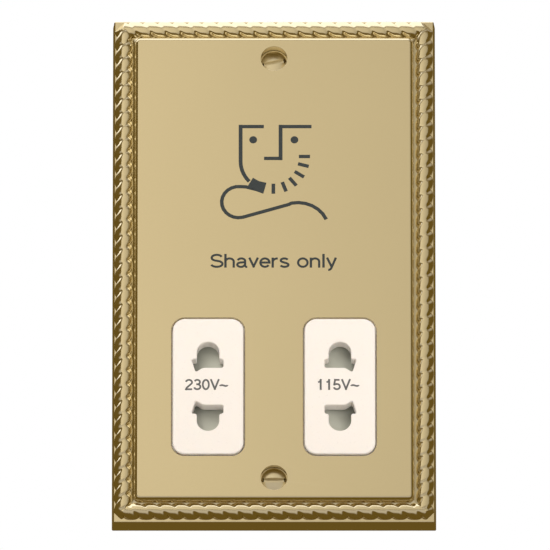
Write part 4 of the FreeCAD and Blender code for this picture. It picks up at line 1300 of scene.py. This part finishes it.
# %% Card in front of the plate
card_low, card_high = Vector((-0.117, -0.185, -0.016)), Vector((0.205, -0.185, 0.172))
card_light = 0.74
card_least = 0.45
card_fade = 2.2
bpy.ops.mesh.primitive_plane_add(size=1, rotation=(math.pi / 2, 0, 0))
card = bpy.context.object
card.location = (card_low + card_high) / 2
card.scale = (card_high.x - card_low.x, card_high.z - card_low.z, 1)
start_piece("studio_card")
card.visible_camera = False
card.visible_diffuse = False
card.visible_shadow = False
pale_card = bpy.data.materials.new("studio_card")
pale_card.use_nodes = True
tree = pale_card.node_tree
tree.nodes.clear()
place = node(tree, "ShaderNodeTexCoord")
on_card = node(tree, "ShaderNodeSeparateXYZ")
tree.links.new(place.outputs["Object"], on_card.inputs[0])
level = math_node(tree, "MULTIPLY", on_card.outputs["X"], -card_fade)
level = math_node(tree, "MULTIPLY", math_node(tree, "ADD", level, 1.0), card_light)
emission = node(tree, "ShaderNodeEmission")
emission.inputs["Color"].default_value = (0.952, 0.839, 0.626, 1)
level = math_node(tree, "MAXIMUM", level, card_least)
tree.links.new(level, emission.inputs["Strength"])
output = node(tree, "ShaderNodeOutputMaterial")
tree.links.new(emission.outputs[0], output.inputs["Surface"])
wear_finish(card, pale_card)

# %% Background
warm_white = (1.0, 0.928, 0.853)
world = bpy.data.worlds.new("studio")
bpy.context.scene.world = world
world.use_nodes = True
tree = world.node_tree
tree.nodes.clear()
seen = node(tree, "ShaderNodeLightPath")
shown = math_node(tree, "ADD", seen.outputs["Is Camera Ray"], seen.outputs["Is Glossy Ray"])
shown = math_node(tree, "ADD", shown, seen.outputs["Is Transmission Ray"], clamp=True)
sky = node(tree, "ShaderNodeBackground")
sky.inputs["Color"].default_value = (*warm_white, 1)
sky.inputs["Strength"].default_value = 0.42
backdrop = node(tree, "ShaderNodeBackground")
backdrop.inputs["Color"].default_value = (1, 1, 1, 1)
blend = node(tree, "ShaderNodeMixShader")
tree.links.new(shown, blend.inputs[0])
tree.links.new(sky.outputs[0], blend.inputs[1])
tree.links.new(backdrop.outputs[0], blend.inputs[2])
output = node(tree, "ShaderNodeOutputWorld")
tree.links.new(blend.outputs[0], output.inputs["Surface"])

# %% Floor, seen from above only
bpy.ops.mesh.primitive_plane_add(size=3, location=(0, 0.4, -plate_half.z * mm - 0.001))
floor = start_piece("floor")
floor.visible_glossy = False
floor.visible_shadow = False
pale = bpy.data.materials.new("pale_floor")
pale.use_nodes = True
tree = pale.node_tree
tree.nodes.clear()
facing = node(tree, "ShaderNodeNewGeometry")
matte = node(tree, "ShaderNodeBsdfDiffuse")
matte.inputs["Color"].default_value = (0.9, 0.9, 0.9, 1)
clear = node(tree, "ShaderNodeBsdfTransparent")
blend = node(tree, "ShaderNodeMixShader")
output = node(tree, "ShaderNodeOutputMaterial")
tree.links.new(facing.outputs["Backfacing"], blend.inputs[0])
tree.links.new(matte.outputs[0], blend.inputs[1])
tree.links.new(clear.outputs[0], blend.inputs[2])
tree.links.new(blend.outputs[0], output.inputs["Surface"])
wear_finish(floor, pale)


# %% Lamps
def lamp(name, place, size, power):
    """A soft square lamp aimed at the plate. Mirrors see the dome instead of it."""
    light = bpy.data.lights.new(name, "AREA")
    light.size = size
    light.energy = power
    light.color = warm_white
    bulb = bpy.data.objects.new(name, light)
    bpy.context.scene.collection.objects.link(bulb)
    bulb.location = place
    bulb.rotation_euler = (-Vector(place)).to_track_quat("-Z", "Y").to_euler()
    bulb.visible_glossy = False


lamp("key", (-0.5, -1.3, 0.9), 0.9, 14.3)
lamp("fill", (0.9, -1.2, -0.1), 1.0, 7.0)
lamp("back", (0.6, 1.3, 0.9), 1.0, 14.0)

# %% Camera
tilt = math.radians(-22.5)
camera_distance = 6.507
camera_target = Vector((0.266, 0, 0.865)) * mm
toward_camera = Vector((0, -math.cos(tilt), math.sin(tilt)))
camera = bpy.data.objects.new("camera", bpy.data.cameras.new("camera"))
bpy.context.scene.collection.objects.link(camera)
camera.location = camera_target + toward_camera * camera_distance
camera.rotation_euler = (-toward_camera).to_track_quat("-Z", "Y").to_euler()
camera.data.lens = 1600
camera.data.sensor_width = 36
camera.data.clip_start = 1
camera.data.clip_end = 50
bpy.context.scene.camera = camera
bpy.context.scene.view_settings.view_transform = "Standard"

# %% Hand over
bpy.context.view_layer.update()
